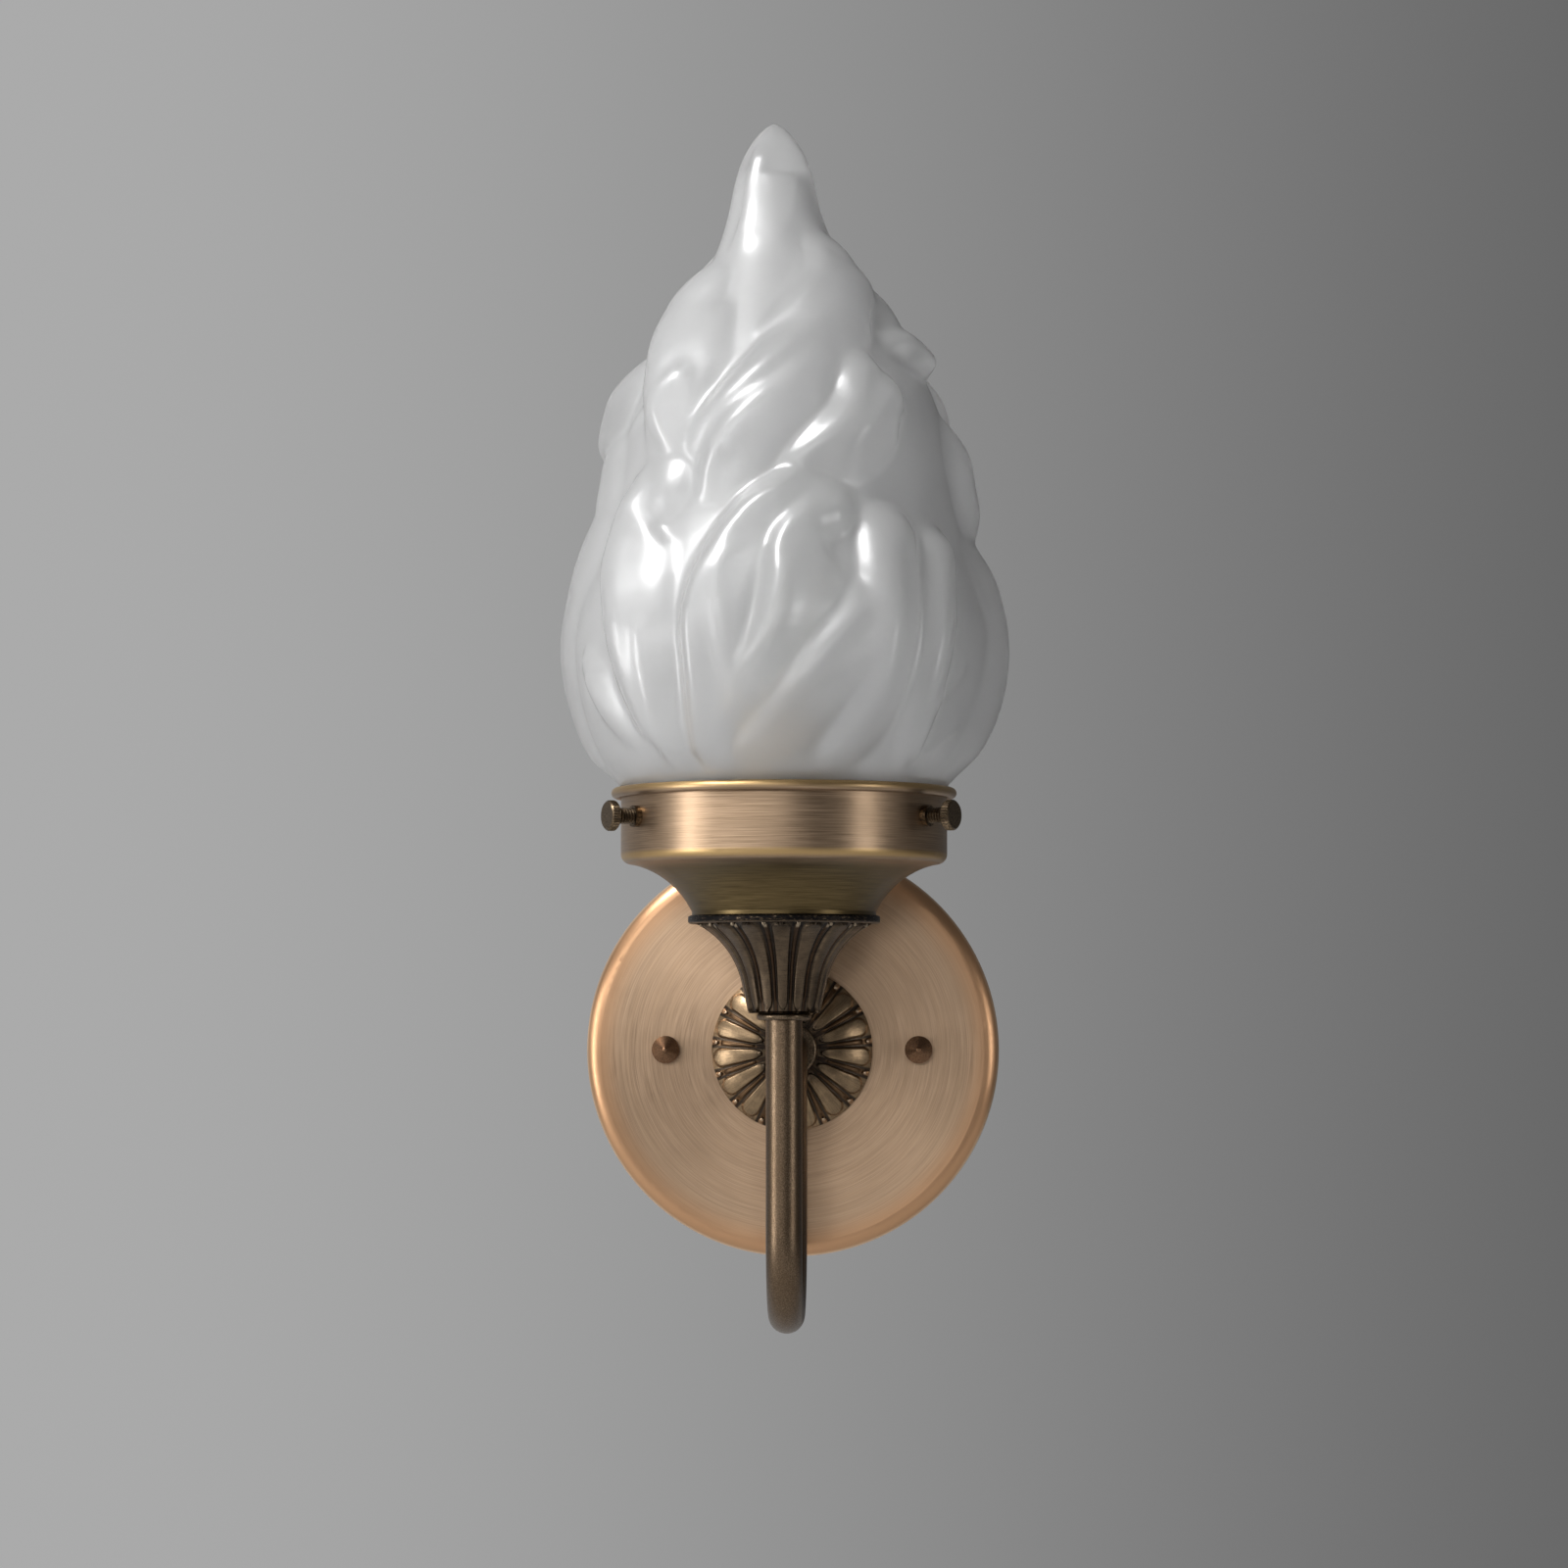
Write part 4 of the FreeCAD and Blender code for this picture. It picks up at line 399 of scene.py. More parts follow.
def rosette_relief():
    """Domed rosette: petals, sunk ribs between them and a bead at the end of each."""
    outer, land = ROSETTE_R, ROSETTE_LAND_R
    top = ROSETTE_HEIGHT - RELIEF
    out, share = ROSETTE_BULGE
    middle = ((outer + land) / 2 + out, ROSETTE_RIM + (top - ROSETTE_RIM) * share)
    x, y, arc = circle_through((outer, ROSETTE_RIM), middle, (land + RELIEF, top))
    angle = np.linspace(0, 2 * math.pi, RELIEF_COLUMNS, endpoint=False)
    radius = np.linspace(outer, land, 110)[:, None]
    v = between(angle - PETAL_TURN)[None, :]
    height = y + np.sqrt(np.maximum(0, arc ** 2 - (radius - x) ** 2)) - 0.1
    ends = round_end(radius, land + 0.7, outer - 0.5, 2.4)
    rise = RELIEF * tongue(v, ends)
    rib = sunk_rib(v, round_end(radius, land + 2.6, outer - 2.6, 1.6))
    rise = np.maximum(rise, 0.42 * RELIEF * rib)
    step = math.pi / PETALS * radius
    for at, across in ((outer - 0.95, (1 - v) * step), (land + 1.2, v * step)):
        rise = with_bead(rise, 0.35, ROSETTE_BEAD_R, across, radius - at)
    front = height + rise * ease((outer - radius) / 0.25) * ease((radius - land) / 0.4)
    front = np.minimum(front, ROSETTE_HEIGHT)
    flat = np.ones((1, len(angle)))
    radii = np.vstack([r * flat for r in (TUBE_HOLE_R, outer, radius, land, TUBE_HOLE_R)])
    heights = np.vstack([0 * flat, 0 * flat, front, ROSETTE_HEIGHT * flat, ROSETTE_HEIGHT * flat])
    return closed_ring("fluted_rosette", np.stack(
        [radii * np.sin(angle), -CANOPY_DEPTH - heights, radii * np.cos(angle)], -1))


def cup_relief():
    """Bell with broad ribs, sunk ribs between them, beads at both ends of each and a
    flat flange."""
    x, z, arc = circle_through(CUP_WAIST, CUP_THROAT, CUP_MOUTH)
    first, last = (math.atan2(point[1] - z, point[0] - x) % (2 * math.pi)
                   for point in (CUP_WAIST, CUP_MOUTH))
    bell = list(zip(*(np.linspace(low, high, 24, endpoint=False)
                      for low, high in zip(CUP_BASE, CUP_WAIST))))
    bell += [(x + arc * math.cos(a), z + arc * math.sin(a)) for a in np.linspace(first, last, 90)]
    bell = np.array(bell)
    along = np.concatenate([[0], np.cumsum(np.hypot(*np.diff(bell, axis=0).T))])
    lead = np.gradient(bell, axis=0)
    normal = np.stack([lead[:, 1], -lead[:, 0]], 1) / np.hypot(lead[:, 0], lead[:, 1])[:, None]
    angle = np.linspace(0, 2 * math.pi, RELIEF_COLUMNS, endpoint=False)
    v = between(angle)[None, :]
    s, total = along[:, None], along[-1]
    ends = round_end(s, 0.9, total - 1.3, 2.6)
    rise = CUP_RELIEF * tongue(v, ends)
    rib = sunk_rib(v, round_end(s, 3.0, total - 2.6, 2.0))
    rise = np.maximum(rise, 0.45 * CUP_RELIEF * rib)
    across = (1 - v) * math.pi / PETALS * bell[:, :1]
    rise = with_bead(rise, 0.3, CUP_BEAD_R, across, s - total + 1.5)
    rise = (rise - CUP_RELIEF) * ease((total - s) / 0.4) * ease(s / 0.4)
    radii = bell[:, :1] + normal[:, :1] * rise
    heights = bell[:, 1:] + normal[:, 1:] * rise
    flat = np.ones((1, len(angle)))
    under, wall = CUP_MOUTH[1], CUP_RELIEF + CUP_WALL
    flange = [(FLANGE_R - 0.6, under), (FLANGE_R - 0.18, under + 0.18), (FLANGE_R, under + 0.6),
              (FLANGE_R, FLANGE_TOP - 0.5), (FLANGE_R - 0.15, FLANGE_TOP - 0.15),
              (FLANGE_R - 0.5, FLANGE_TOP)]
    inside = [(CUP_MOUTH[0] - wall, FLANGE_TOP), (CUP_MOUTH[0] - wall, under),
              (CUP_THROAT[0] - wall, CUP_THROAT[1] + 1.9), (CUP_WAIST[0] - wall, CUP_FLOOR_TOP),
              (TUBE_HOLE_R, CUP_FLOOR_TOP), (TUBE_HOLE_R, CUP_BASE[1])]
    radii = np.vstack([radii] + [r * flat for r, _ in flange + inside])
    heights = np.vstack([heights] + [h * flat for _, h in flange + inside])
    return closed_ring("fluted_cup", np.stack(
        [radii * np.sin(angle), -REACH - radii * np.cos(angle), heights], -1))


# ---- materials --------------------------------------------------------------
class Finish:
    """A Principled material, with short calls for the nodes that feed it. The
    place vector is the row frame in millimetres."""

    def __init__(self, name, colour=(0.8, 0.8, 0.8), **constants):
        self.material = bpy.data.materials.new(name)
        self.material.use_nodes = True
        self.nodes = self.material.node_tree.nodes
        self.links = self.material.node_tree.links
        self.shader = self.nodes["Principled BSDF"]
        self.feed("Base Colour", tuple(colour) + (1.0,))
        for socket, value in constants.items():
            self.feed(socket.replace("_", " ").title(), value)
        self.place = self.vector("SCALE", self.node("ShaderNodeTexCoord").outputs["Object"], 1 / MM)

    def feed(self, socket, value):
        names = {"Base Colour": "Base Color", "Ior": "IOR"}
        self.put(self.shader.inputs[names.get(socket, socket)], value)
        return self

    def put(self, socket, value):
        if isinstance(value, bpy.types.NodeSocket):
            self.links.new(value, socket)
        else:
            socket.default_value = value

    def node(self, kind, inputs=(), **settings):
        node = self.nodes.new(kind)
        for name, value in settings.items():
            setattr(node, name, value)
        for name, value in dict(inputs).items():
            self.put(node.inputs[name], value)
        return node

    def math(self, operation, a, b=0.0, clamp=False):
        node = self.node("ShaderNodeMath", {0: a, 1: b}, operation=operation, use_clamp=clamp)
        return node.outputs[0]

    def vector(self, operation, a, b):
        node = self.node("ShaderNodeVectorMath", {0: a}, operation=operation)
        self.put(node.inputs["Scale" if operation == "SCALE" else 1], b)
        return node.outputs[0]

    def joined(self, x, y, z):
        return self.node("ShaderNodeCombineXYZ", {0: x, 1: y, 2: z}).outputs[0]

    def parts(self, vector):
        return self.node("ShaderNodeSeparateXYZ", {0: vector}).outputs

    def noise(self, size, detail=2.0, rough=0.5, at=None):
        """Noise from 0 to 1 with spots of a size in mm, or one size for each axis."""
        sizes = (size,) * 3 if isinstance(size, (int, float)) else size
        scaled = self.vector("MULTIPLY", self.place if at is None else at, [1 / s for s in sizes])
        node = self.node("ShaderNodeTexNoise", {"Vector": scaled, "Scale": 1.0, "Detail": detail,
                                                "Roughness": rough})
        return node.outputs["Fac"]

    def spots(self, size):
        """Distance from the middle of random cells of a size in mm, 0 to about 1."""
        scaled = self.vector("SCALE", self.place, 1 / size)
        cells = self.node("ShaderNodeTexVoronoi", {"Vector": scaled, "Scale": 1.0})
        return cells.outputs["Distance"]

    def span(self, value, low, high, to_low=0.0, to_high=1.0):
        """Value taken softly from one range to another, held at both ends."""
        node = self.node("ShaderNodeMapRange", {"Value": value, "From Min": low, "From Max": high,
                                                "To Min": to_low, "To Max": to_high},
                         interpolation_type="SMOOTHSTEP")
        return node.outputs["Result"]

    def mix(self, share, a, b):
        node = self.node("ShaderNodeMix", data_type="RGBA", blend_type="MIX")
        self.put(node.inputs["Factor"], share)
        for socket, value in ((node.inputs[6], a), (node.inputs[7], b)):
            self.put(socket, tuple(value) + (1.0,) if isinstance(value, tuple) else value)
        return node.outputs[2]

    def bump(self, height, depth):
        """Relief of a depth in mm for a height from 0 to 1, on top of any before it."""
        node = self.node("ShaderNodeBump", {"Height": height, "Distance": depth * MM,
                                            "Strength": 1.0})
        before = self.shader.inputs["Normal"].links
        if before:
            self.links.new(before[0].from_socket, node.inputs["Normal"])
        self.feed("Normal", node.outputs[0])
        return self

    def round_y(self):
        """Radius, and angle from the top, about the canopy's axis."""
        x, _, z = self.parts(self.place)
        return self.length(x, z), self.math("ARCTAN2", x, z)

    def round_z(self):
        """Radius, and angle from the front, about the cup's axis."""
        x, y, _ = self.parts(self.place)
        forward = self.math("SUBTRACT", -REACH, y)
        return self.length(x, forward), self.math("ARCTAN2", x, forward)

    def length(self, a, b):
        squares = self.math("ADD", self.math("MULTIPLY", a, a), self.math("MULTIPLY", b, b))
        return self.math("SQRT", squares)

    def on(self, *names):
        """Gives this material to the CAD nodes, or objects, of these names."""
        for name in names:
            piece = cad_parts.get(name) or bpy.data.objects[name]
            piece.data.materials.clear()
            piece.data.materials.append(self.material)
        return self

    def mix_value(self, share, a, b):
        """One value or the other, by a share from 0 to 1."""
        rest = self.math("SUBTRACT", 1.0, share)
        return self.math("ADD", self.math("MULTIPLY", rest, a), self.math("MULTIPLY", share, b))

    def brushed(self, across, angle, fine, along):
        """Noise drawn out round an axis: across is the radius or height in mm, fine the
        width of a brush line and along its length in mm."""
        sweep = self.joined(across, self.math("MULTIPLY", self.math("COSINE", angle), BRUSH_WRAP),
                            self.math("MULTIPLY", self.math("SINE", angle), BRUSH_WRAP))
        return self.noise((fine, along, along), detail=3.0, rough=0.6, at=sweep)

    def round_grain(self, axis, strength):
        """Draws highlights out across brush lines that run round an axis."""
        tangent = self.node("ShaderNodeTangent", direction_type="RADIAL", axis=axis)
        self.feed("Tangent", tangent.outputs[0])
        self.feed("Anisotropic Rotation", 0.25)
        return self.feed("Anisotropic", strength)


def canopy_bronze():
    f = Finish("canopy_bronze", metallic=1.0)
    radius, angle = f.round_y()
    lines = f.brushed(radius, angle, 0.22, 16.0)
    broad = f.brushed(radius, angle, 1.6, 30.0)
    cloud = f.noise(26.0, detail=3.0)
    colour = f.mix(f.span(lines, 0.3, 0.7), (0.42, 0.285, 0.185), (0.56, 0.39, 0.26))
    colour = f.mix(f.span(broad, 0.35, 0.75, 0.0, 0.35), colour, (0.49, 0.33, 0.205))
    colour = f.mix(f.span(cloud, 0.45, 0.8, 0.0, 0.3), colour, (0.40, 0.28, 0.19))
    copper = f.span(radius, 47.0, 55.0)
    colour = f.mix(copper, colour, (0.52, 0.30, 0.165))
    # painted highlight: a thin bright line along the canopy's rounded rim
    colour = f.mix(f.span(radius, 56.3, 56.9), colour, (0.72, 0.50, 0.32))
    f.feed("Base Colour", colour)
    rough = f.span(lines, 0.2, 0.8, 0.30, 0.42)
    f.feed("Roughness", f.math("ADD", rough, f.span(cloud, 0.4, 0.8, -0.02, 0.05)))
    f.bump(lines, 0.012)
    f.bump(f.noise(9.0, detail=1.0), 0.05)
    return f.round_grain("Y", 0.65)


def cast_patina(name, crest, sunk, recess, shine):
    """Cast brass: rubbed to light metal on the petals, brown on the sunk ribs, dark in the gaps, and
    a colour for painted highlights on the beads.
    """
    f = Finish(name, metallic=1.0)
    f.grain = f.noise(0.35, detail=4.0, rough=0.7)
    f.blotch = f.noise(2.6, detail=3.0)
    f.crest, f.sunk, f.recess, f.shine = crest, sunk, recess, shine
    return f


def gap_share(f, angle, turn=0.0):
    """0 in the middle of a petal, 1 half way to the next."""
    wave = f.math("COSINE", f.math("MULTIPLY", f.math("SUBTRACT", angle, turn), float(PETALS)))
    return f.math("DIVIDE", f.math("ARCCOSINE", f.math("MULTIPLY", wave, 0.9999)), math.pi)


def finish_patina(f, share, wear_and_shade, glint_share):
    """Colours by the share across a petal, its wear with painted shade, and where painted highlights
    fall.
    """
    wear_and_shade = f.math("ADD", wear_and_shade, f.span(f.grain, 0.3, 0.7, -0.14, 0.14), clamp=True)
    wear_and_shade = f.math("ADD", wear_and_shade, f.span(f.blotch, 0.35, 0.65, -0.12, 0.08), clamp=True)
    colour = f.mix(wear_and_shade, f.recess, f.crest)
    colour = f.mix(f.span(share, 0.76, 0.84), colour, f.mix(wear_and_shade, f.recess, f.sunk))
    gap = f.math("MULTIPLY", f.span(share, 0.60, 0.70), f.span(share, 0.86, 0.78))
    colour = f.mix(f.math("MULTIPLY", gap, 0.85), colour, f.recess)
    # painted highlight: the glint colour laid over the beads
    colour = f.mix(glint_share, colour, f.shine)
    f.feed("Base Colour", colour)
    f.feed("Roughness", f.span(wear_and_shade, 0.0, 1.0, 0.48, 0.31))
    f.bump(f.grain, 0.03)
    return f.bump(f.blotch, 0.05)


def rosette_patina():
    f = cast_patina("rosette_patina", crest=(0.26, 0.18, 0.105), sunk=(0.12, 0.07, 0.036),
                    recess=(0.012, 0.011, 0.012), shine=(0.46, 0.34, 0.23))
    radius, angle = f.round_y()
    share = gap_share(f, angle, PETAL_TURN)
    streak = f.brushed(radius, angle, 5.0, 0.9)
    # the petals darken towards the hub: painted shade where the arm and its ring sit, with real
    # streaks of wear
    wear_and_shade = f.math("MULTIPLY", f.span(radius, 8.6, 11.5, 0.35, 1.0),
                  f.span(streak, 0.25, 0.7, 0.62, 1.0))
    # painted highlight on the inner side of each outer bead
    glint_share = f.math("MULTIPLY", f.span(share, 0.84, 0.9), f.span(radius, 20.2, 20.8, 0.0, 0.8))
    return finish_patina(f, share, wear_and_shade, glint_share)


def cup_patina():
    f = cast_patina("cup_patina", crest=(0.12, 0.086, 0.056), sunk=(0.055, 0.033, 0.019),
                    recess=(0.010, 0.009, 0.009), shine=(0.34, 0.27, 0.19))
    radius, angle = f.round_z()
    _, _, z = f.parts(f.place)
    share = gap_share(f, angle)
    lines = f.brushed(z, angle, 0.25, 9.0)
    wear_and_shade = f.span(lines, 0.25, 0.75, 0.60, 1.0)
    # darker just under the flange: painted shade under its overhang
    wear_and_shade = f.math("MULTIPLY", wear_and_shade, f.span(z, 33.2, 31.0, 0.45, 1.0))
    flange = f.math("MULTIPLY", f.span(radius, 23.2, 24.2), f.span(z, 32.9, 33.3))
    chipped = f.span(f.noise((1.0, 1.0, 0.35), detail=3.0), 0.55, 0.66, 0.0, 0.8)
    lower_edge = f.span(z, 33.9, 33.5, 0.0, 0.7)
    wear_and_shade = f.mix_value(flange, wear_and_shade, f.math("MAXIMUM", chipped, lower_edge))
    share = f.mix_value(flange, share, 0.0)
    # painted highlight on the beads under the flange
    glint_share = f.math("MULTIPLY", f.span(share, 0.86, 0.92), f.span(z, 31.8, 32.4, 0.0, 0.8))
    return finish_patina(f, share, wear_and_shade, glint_share)


def arm_bronze():
    f = Finish("arm_bronze", metallic=1.0)
    stipple = f.noise(0.3, detail=3.0, rough=0.7)
    dots = f.spots(0.6)
    cloud = f.noise((7.0, 7.0, 14.0), detail=3.0)
    colour = f.mix(f.span(stipple, 0.32, 0.68), (0.07, 0.046, 0.028), (0.19, 0.135, 0.088))
    colour = f.mix(f.span(cloud, 0.4, 0.7, 0.0, 0.5), colour, (0.10, 0.066, 0.040))
    colour = f.mix(f.span(dots, 0.0, 0.28, 0.55, 0.0), colour, (0.075, 0.055, 0.040))
    f.feed("Base Colour", colour)
    f.feed("Roughness", f.span(stipple, 0.2, 0.8, 0.40, 0.28))
    f.bump(stipple, 0.035)
    return f.bump(dots, 0.02)


def spun_brass():
    f = Finish("spun_brass", metallic=1.0)
    radius, angle = f.round_z()
    _, _, z = f.parts(f.place)
    lines = f.brushed(z, angle, 0.16, 14.0)
    broad = f.brushed(z, angle, 0.9, 30.0)
    cloud = f.noise(11.0, detail=3.0)
    colour = f.mix(f.span(lines, 0.3, 0.7), (0.24, 0.165, 0.105), (0.40, 0.285, 0.19))
    colour = f.mix(f.span(broad, 0.4, 0.7, 0.0, 0.35), colour, (0.22, 0.155, 0.10))
    # the neck is much darker than the body: an olive tone plus painted shade where it faces down
    # under the body
    olive_and_shade = f.mix(f.span(lines, 0.3, 0.7), (0.08, 0.056, 0.025), (0.15, 0.107, 0.05))
    colour = f.mix(f.span(z, 49.6, 47.0), colour, olive_and_shade)
    # painted highlights: golden bands on the lower rounded corner and along the top of the rolled rim
    ledge = f.math("ABSOLUTE", f.math("SUBTRACT", z, 50.6))
    painted_glint_bands = f.math("ADD", f.span(ledge, 1.5, 0.2), f.span(z, 66.3, 68.2), clamp=True)
    colour = f.mix(f.math("MULTIPLY", painted_glint_bands, 0.8), colour, (0.48, 0.32, 0.135))
    f.feed("Base Colour", colour)
    f.feed("Roughness", f.math("ADD", f.span(lines, 0.2, 0.8, 0.34, 0.46),
                               f.span(cloud, 0.4, 0.8, 0.0, 0.06)))
    f.bump(lines, 0.010)
    f.bump(broad, 0.02)
    return f.round_grain("Z", 0.35)


def dark_brass(name, light, dark, size=0.7):
    """Small turned brass pieces under a patina rubbed off in spots."""
    f = Finish(name, metallic=1.0)
    grain = f.noise(size, detail=4.0, rough=0.65)
    f.feed("Base Colour", f.mix(f.span(grain, 0.35, 0.68), dark, light))
    f.feed("Roughness", f.span(grain, 0.3, 0.7, 0.45, 0.28))
    return f.bump(grain, 0.02)


def plated(name, light, dark, rough=0.3, size=1.6):
    """Sheet or bar metal, plated, with a faint cloud and fine scratches."""
    f = Finish(name, metallic=1.0)
    cloud = f.noise(size * 4, detail=3.0)
    scratch = f.noise((size * 4, size / 5, size / 5), detail=3.0, rough=0.7)
    colour = f.mix(f.span(cloud, 0.35, 0.65), dark, light)
    f.feed("Base Colour", f.mix(f.span(scratch, 0.55, 0.75, 0.0, 0.35), colour, light))
    f.feed("Roughness", f.span(scratch, 0.3, 0.7, rough, rough + 0.16))
    return f.bump(scratch, 0.006)


def moulded(name, colour, shade, rough=0.45, size=0.5, depth=0.02):
    """Rubber, plastic, fibre or ceramic with a fine grain and a faint change of tone."""
    f = Finish(name)
    grain = f.noise(size, detail=3.0)
    cloud = f.noise(size * 14, detail=2.0)
    f.feed("Base Colour", f.mix(f.span(cloud, 0.35, 0.65), colour, shade))
    f.feed("Roughness", f.span(grain, 0.3, 0.7, rough - 0.06, rough + 0.08))
    return f.bump(grain, depth)


def frosted_glass():
    f = Finish("frosted_glass", transmission_weight=0.82, ior=1.45, coat_weight=0.8,
               coat_roughness=0.26)
    etch = f.noise(0.35, detail=3.0, rough=0.7)
    cloud = f.noise(18.0, detail=3.0)
    f.feed("Base Colour", f.mix(f.span(cloud, 0.35, 0.7), (0.93, 0.93, 0.93), (0.88, 0.88, 0.88)))
    f.feed("Roughness", f.math("ADD", f.span(etch, 0.25, 0.75, 0.34, 0.44),
                               f.span(cloud, 0.3, 0.7, 0.0, 0.05)))
    return f.bump(etch, 0.004)


def clear_glass():
    f = Finish("clear_glass", (0.97, 0.975, 0.97), transmission_weight=1.0, ior=1.45)
    wave = f.noise(9.0, detail=1.0)
    f.feed("Roughness", f.span(wave, 0.3, 0.7, 0.0, 0.03))
    return f.bump(wave, 0.02)


# ---- build ------------------------------------------------------------------
shade = flame_shade()
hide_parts("glass_shade")
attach(shade, "shade")

for relief, node in ((rosette_relief(), "rosette"), (cup_relief(), "cup")):
    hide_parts(node)
    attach(relief, "fixture")

frosted_glass().on("flame_shade", "glass_shade")
canopy_bronze().on("canopy")
rosette_patina().on("fluted_rosette", "rosette")
cup_patina().on("fluted_cup", "cup")
arm_bronze().on("arm_tube")
spun_brass().on("shade_holder")
dark_brass("ring_brass", (0.22, 0.155, 0.10), (0.05, 0.038, 0.026), 0.4).on(
    "lower_check_ring", "upper_check_ring")
dark_brass("cap_nut_brass", (0.24, 0.135, 0.075), (0.13, 0.075, 0.045), 0.35).on(
    "cap_nut_left", "cap_nut_right")
SIDES = ("right", "rear", "left")
dark_brass("screw_brass", (0.20, 0.145, 0.09), (0.05, 0.036, 0.024), 0.3).on(
    *["thumb_screw_" + s for s in SIDES])
dark_brass("boss_brass", (0.24, 0.17, 0.10), (0.05, 0.036, 0.024)).on(
    *["screw_boss_" + s for s in SIDES])
moulded("tip_rubber", (0.03, 0.03, 0.03), (0.045, 0.045, 0.045), 0.7).on(
    *["screw_tip_" + s for s in SIDES])
plated("zinc_steel", (0.62, 0.63, 0.62), (0.48, 0.49, 0.47)).on(
    "crossbar", "canopy_stud_left", "canopy_stud_right", "stud_nut_left", "stud_nut_right",
    "arm_washer", "arm_nut", "holder_washer", "holder_nut")
plated("ground_green", (0.06, 0.30, 0.12), (0.03, 0.18, 0.07), 0.35).on("ground_screw")
plated("socket_brass", (0.26, 0.20, 0.13), (0.18, 0.14, 0.09), 0.32).on("socket_cap", "socket_shell")
plated("shell_brass", (0.74, 0.60, 0.34), (0.60, 0.47, 0.25), 0.3).on("screw_shell", "centre_contact")
plated("base_aluminium", (0.74, 0.74, 0.72), (0.60, 0.60, 0.58), 0.32).on("bulb_base")
plated("solder", (0.62, 0.62, 0.64), (0.46, 0.46, 0.47), 0.36, 0.6).on("bulb_button")
plated("nickel", (0.66, 0.62, 0.55), (0.50, 0.47, 0.42), 0.28, 0.6).on("bulb_stem", "bulb_filament")
plated("terminal_brass", (0.70, 0.54, 0.30), (0.54, 0.40, 0.20), 0.3, 0.6).on("black_terminal_screw")
plated("terminal_nickel", (0.70, 0.68, 0.64), (0.54, 0.52, 0.48), 0.3, 0.6).on("white_terminal_screw")
moulded("black_insulation", (0.022, 0.022, 0.023), (0.032, 0.031, 0.030), 0.4).on("black_lead")
moulded("white_insulation", (0.80, 0.79, 0.75), (0.72, 0.71, 0.67), 0.4).on("white_lead")
moulded("green_insulation", (0.05, 0.26, 0.09), (0.04, 0.20, 0.07), 0.4).on("ground_lead")
moulded("connector_plastic", (0.72, 0.26, 0.045), (0.64, 0.22, 0.04), 0.42).on(
    "black_wire_connector", "white_wire_connector")
moulded("fibre", (0.36, 0.27, 0.17), (0.30, 0.22, 0.14), 0.75).on("insulating_sleeve")
moulded("phenolic", (0.035, 0.03, 0.028), (0.05, 0.042, 0.038), 0.35).on("socket_body")
moulded("black_glass", (0.012, 0.012, 0.016), (0.02, 0.02, 0.024), 0.15, depth=0.004).on(
    "bulb_insulator")
clear_glass().on("bulb_glass")


# ---- floor, lights, world and camera, in metres ------------------------------
FLOOR_R = 1.1
FLOOR_Z = -0.32
FLOOR_RINGS = 12
FLOOR_SIDES = 64
LIT_POINT = (0.0, -0.06, 0.08)
# each lamp: name, place, width and height, and power
LAMPS = [
    ("key", (-0.80, -0.75, 1.20), (0.4, 0.4), 24.0),
    ("front", (-0.50, -1.45, 0.34), (1.5, 0.3), 5.0),
    ("left", (-1.25, -0.65, 0.02), (0.25, 0.7), 7.0),
    ("right", (1.15, -0.75, 0.06), (0.2, 0.5), 2.6),
]
SKY_LEFT, SKY_RIGHT = 0.41, 0.11        # grey of the surroundings on each side
SKY_FADE = 0.24                         # share of the way to a side where it is reached
EYE = (0.038, -1.1994, 0.0086)
EYE_TARGET = (0.0, -REACH * MM, 0.0699)
SENSOR = 36.0
FOCAL_PIXELS, IMAGE_PIXELS = 4349, 1600


def facing(target, at):
    """Rotation that points a lamp or a camera from one place to another."""
    return (Vector(target) - Vector(at)).to_track_quat("-Z", "Y").to_euler()


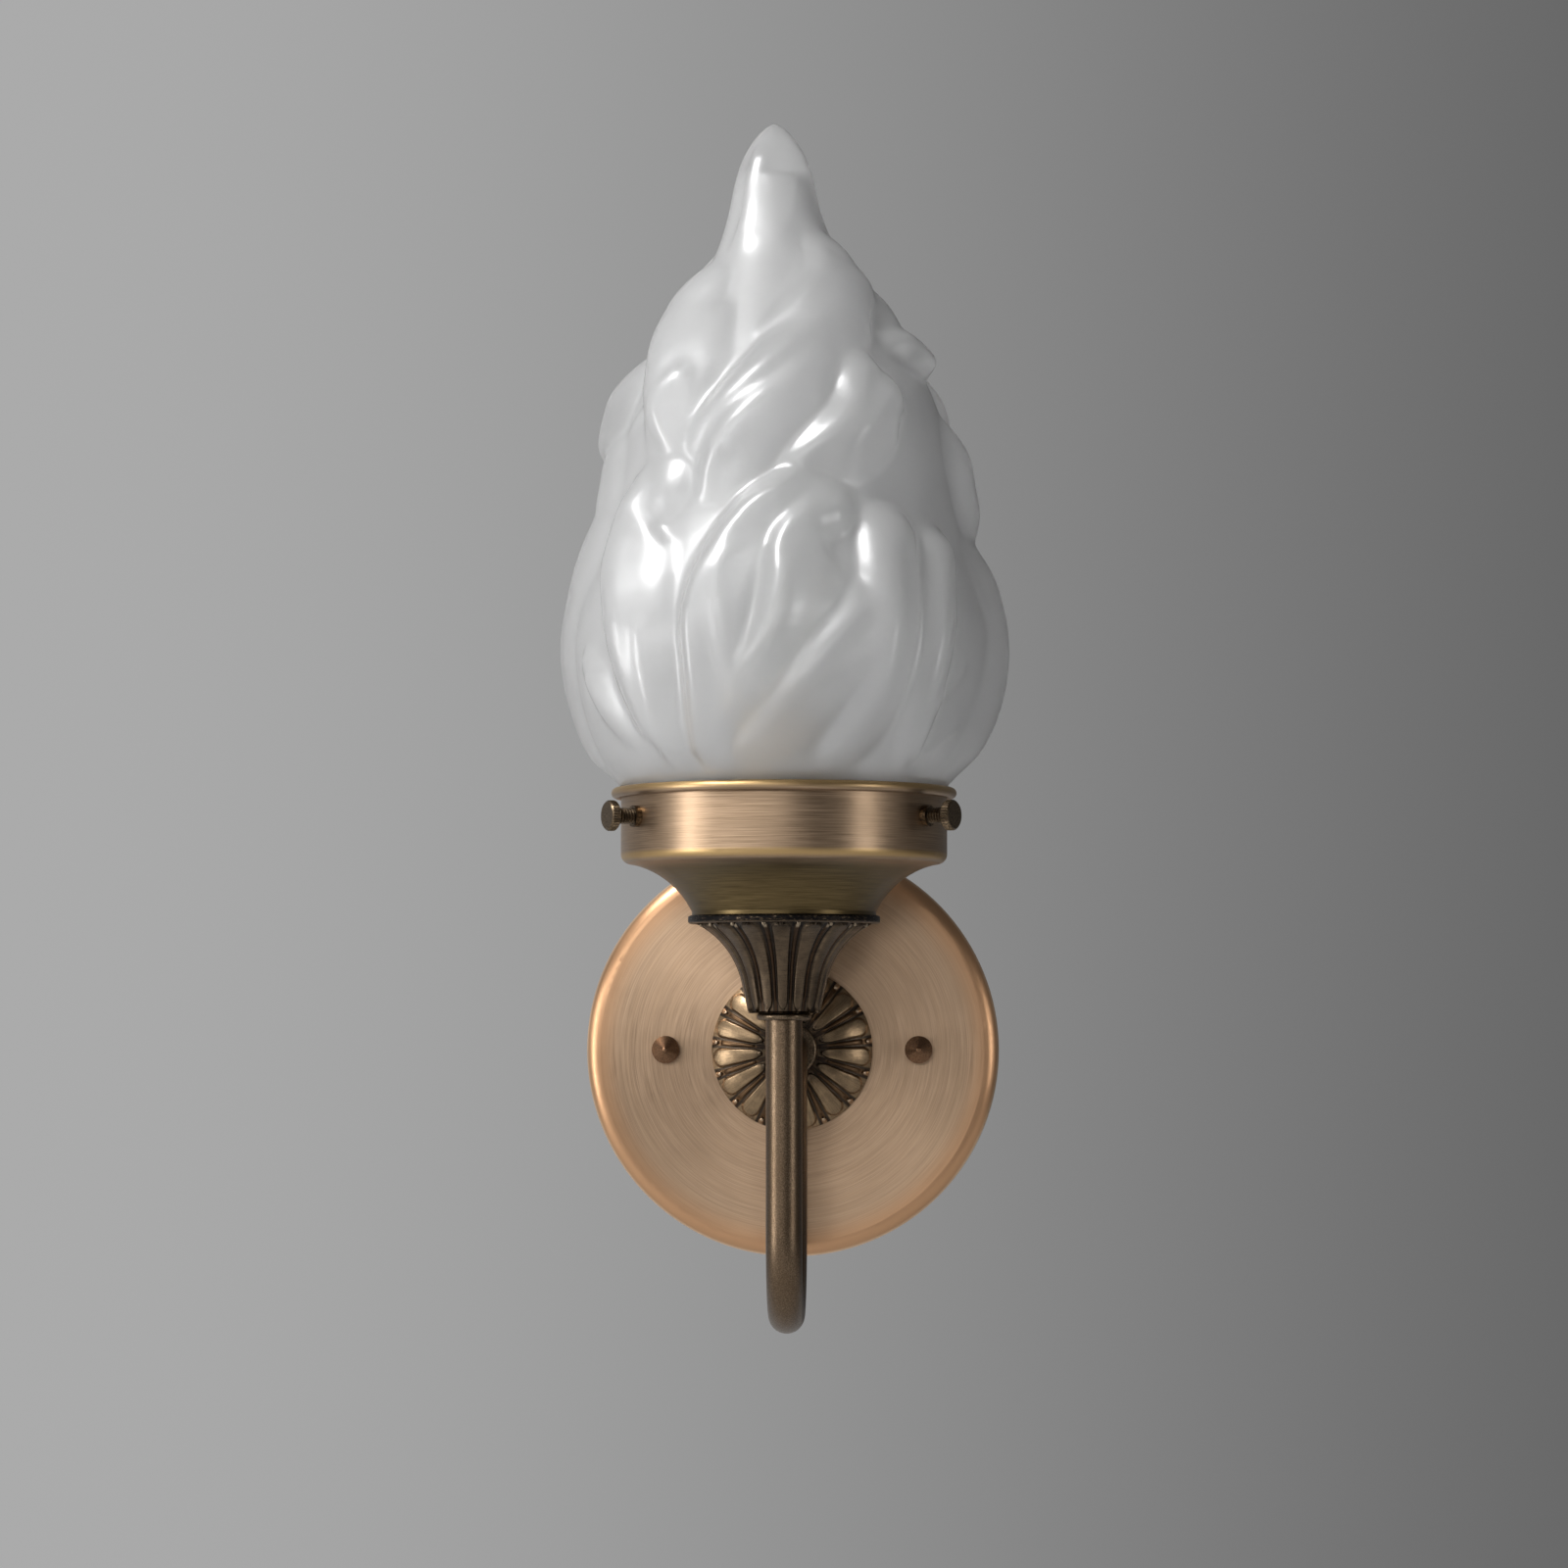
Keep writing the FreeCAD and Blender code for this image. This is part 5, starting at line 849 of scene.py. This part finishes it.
def backdrop_floor():
    """Round pale floor with a grid of faces."""
    turns = [2 * math.pi * k / FLOOR_SIDES for k in range(FLOOR_SIDES)]
    points = [(0.0, 0.0, FLOOR_Z)]
    for ring in range(1, FLOOR_RINGS + 1):
        r = FLOOR_R * ring / FLOOR_RINGS
        points += [(r * math.cos(a), r * math.sin(a), FLOOR_Z) for a in turns]
    pairs = [(k, (k + 1) % FLOOR_SIDES) for k in range(FLOOR_SIDES)]
    faces = [(0, 1 + a, 1 + b) for a, b in pairs]
    for ring in range(FLOOR_RINGS - 1):
        low, high = 1 + ring * FLOOR_SIDES, 1 + (ring + 1) * FLOOR_SIDES
        faces += [(low + a, high + a, high + b, low + b) for a, b in pairs]
    mesh = bpy.data.meshes.new("floor")
    mesh.from_pydata(points, [], faces)
    floor = placed("floor", mesh)
    f = Finish("floor", (0.62, 0.62, 0.62), roughness=0.9)
    cloud = f.span(f.noise(60.0, detail=3.0), 0.3, 0.7)
    f.feed("Base Colour", f.mix(cloud, (0.60, 0.60, 0.60), (0.64, 0.64, 0.64)))
    f.on("floor")


def softbox(name, at, size, power):
    """Rectangular lamp turned towards the sconce."""
    light = bpy.data.lights.new(name, "AREA")
    light.shape = "RECTANGLE"
    light.size, light.size_y = size
    light.energy = power
    lamp = placed(name, light)
    lamp.location = at
    lamp.rotation_euler = facing(LIT_POINT, at)


def studio():
    """Plain grey surroundings, lighter on the left."""
    world = bpy.data.worlds.new("studio")
    world.use_nodes = True
    nodes, links = world.node_tree.nodes, world.node_tree.links
    place = nodes.new("ShaderNodeTexCoord")
    split = nodes.new("ShaderNodeSeparateXYZ")
    tone = nodes.new("ShaderNodeMapRange")
    tone.interpolation_type = "SMOOTHSTEP"
    for name, value in (("From Min", -SKY_FADE), ("From Max", SKY_FADE),
                        ("To Min", SKY_LEFT), ("To Max", SKY_RIGHT)):
        tone.inputs[name].default_value = value
    links.new(place.outputs["Generated"], split.inputs[0])
    links.new(split.outputs["X"], tone.inputs["Value"])
    links.new(tone.outputs["Result"], nodes["Background"].inputs["Color"])
    bpy.context.scene.world = world


backdrop_floor()
for lamp in LAMPS:
    softbox(*lamp)
studio()

camera_data = bpy.data.cameras.new("camera")
camera_data.sensor_width = SENSOR
camera_data.lens = SENSOR * FOCAL_PIXELS / IMAGE_PIXELS
camera = placed("camera", camera_data)
camera.location = EYE
camera.rotation_euler = facing(EYE_TARGET, EYE)
bpy.context.scene.camera = camera
bpy.context.scene.view_settings.view_transform = "Standard"
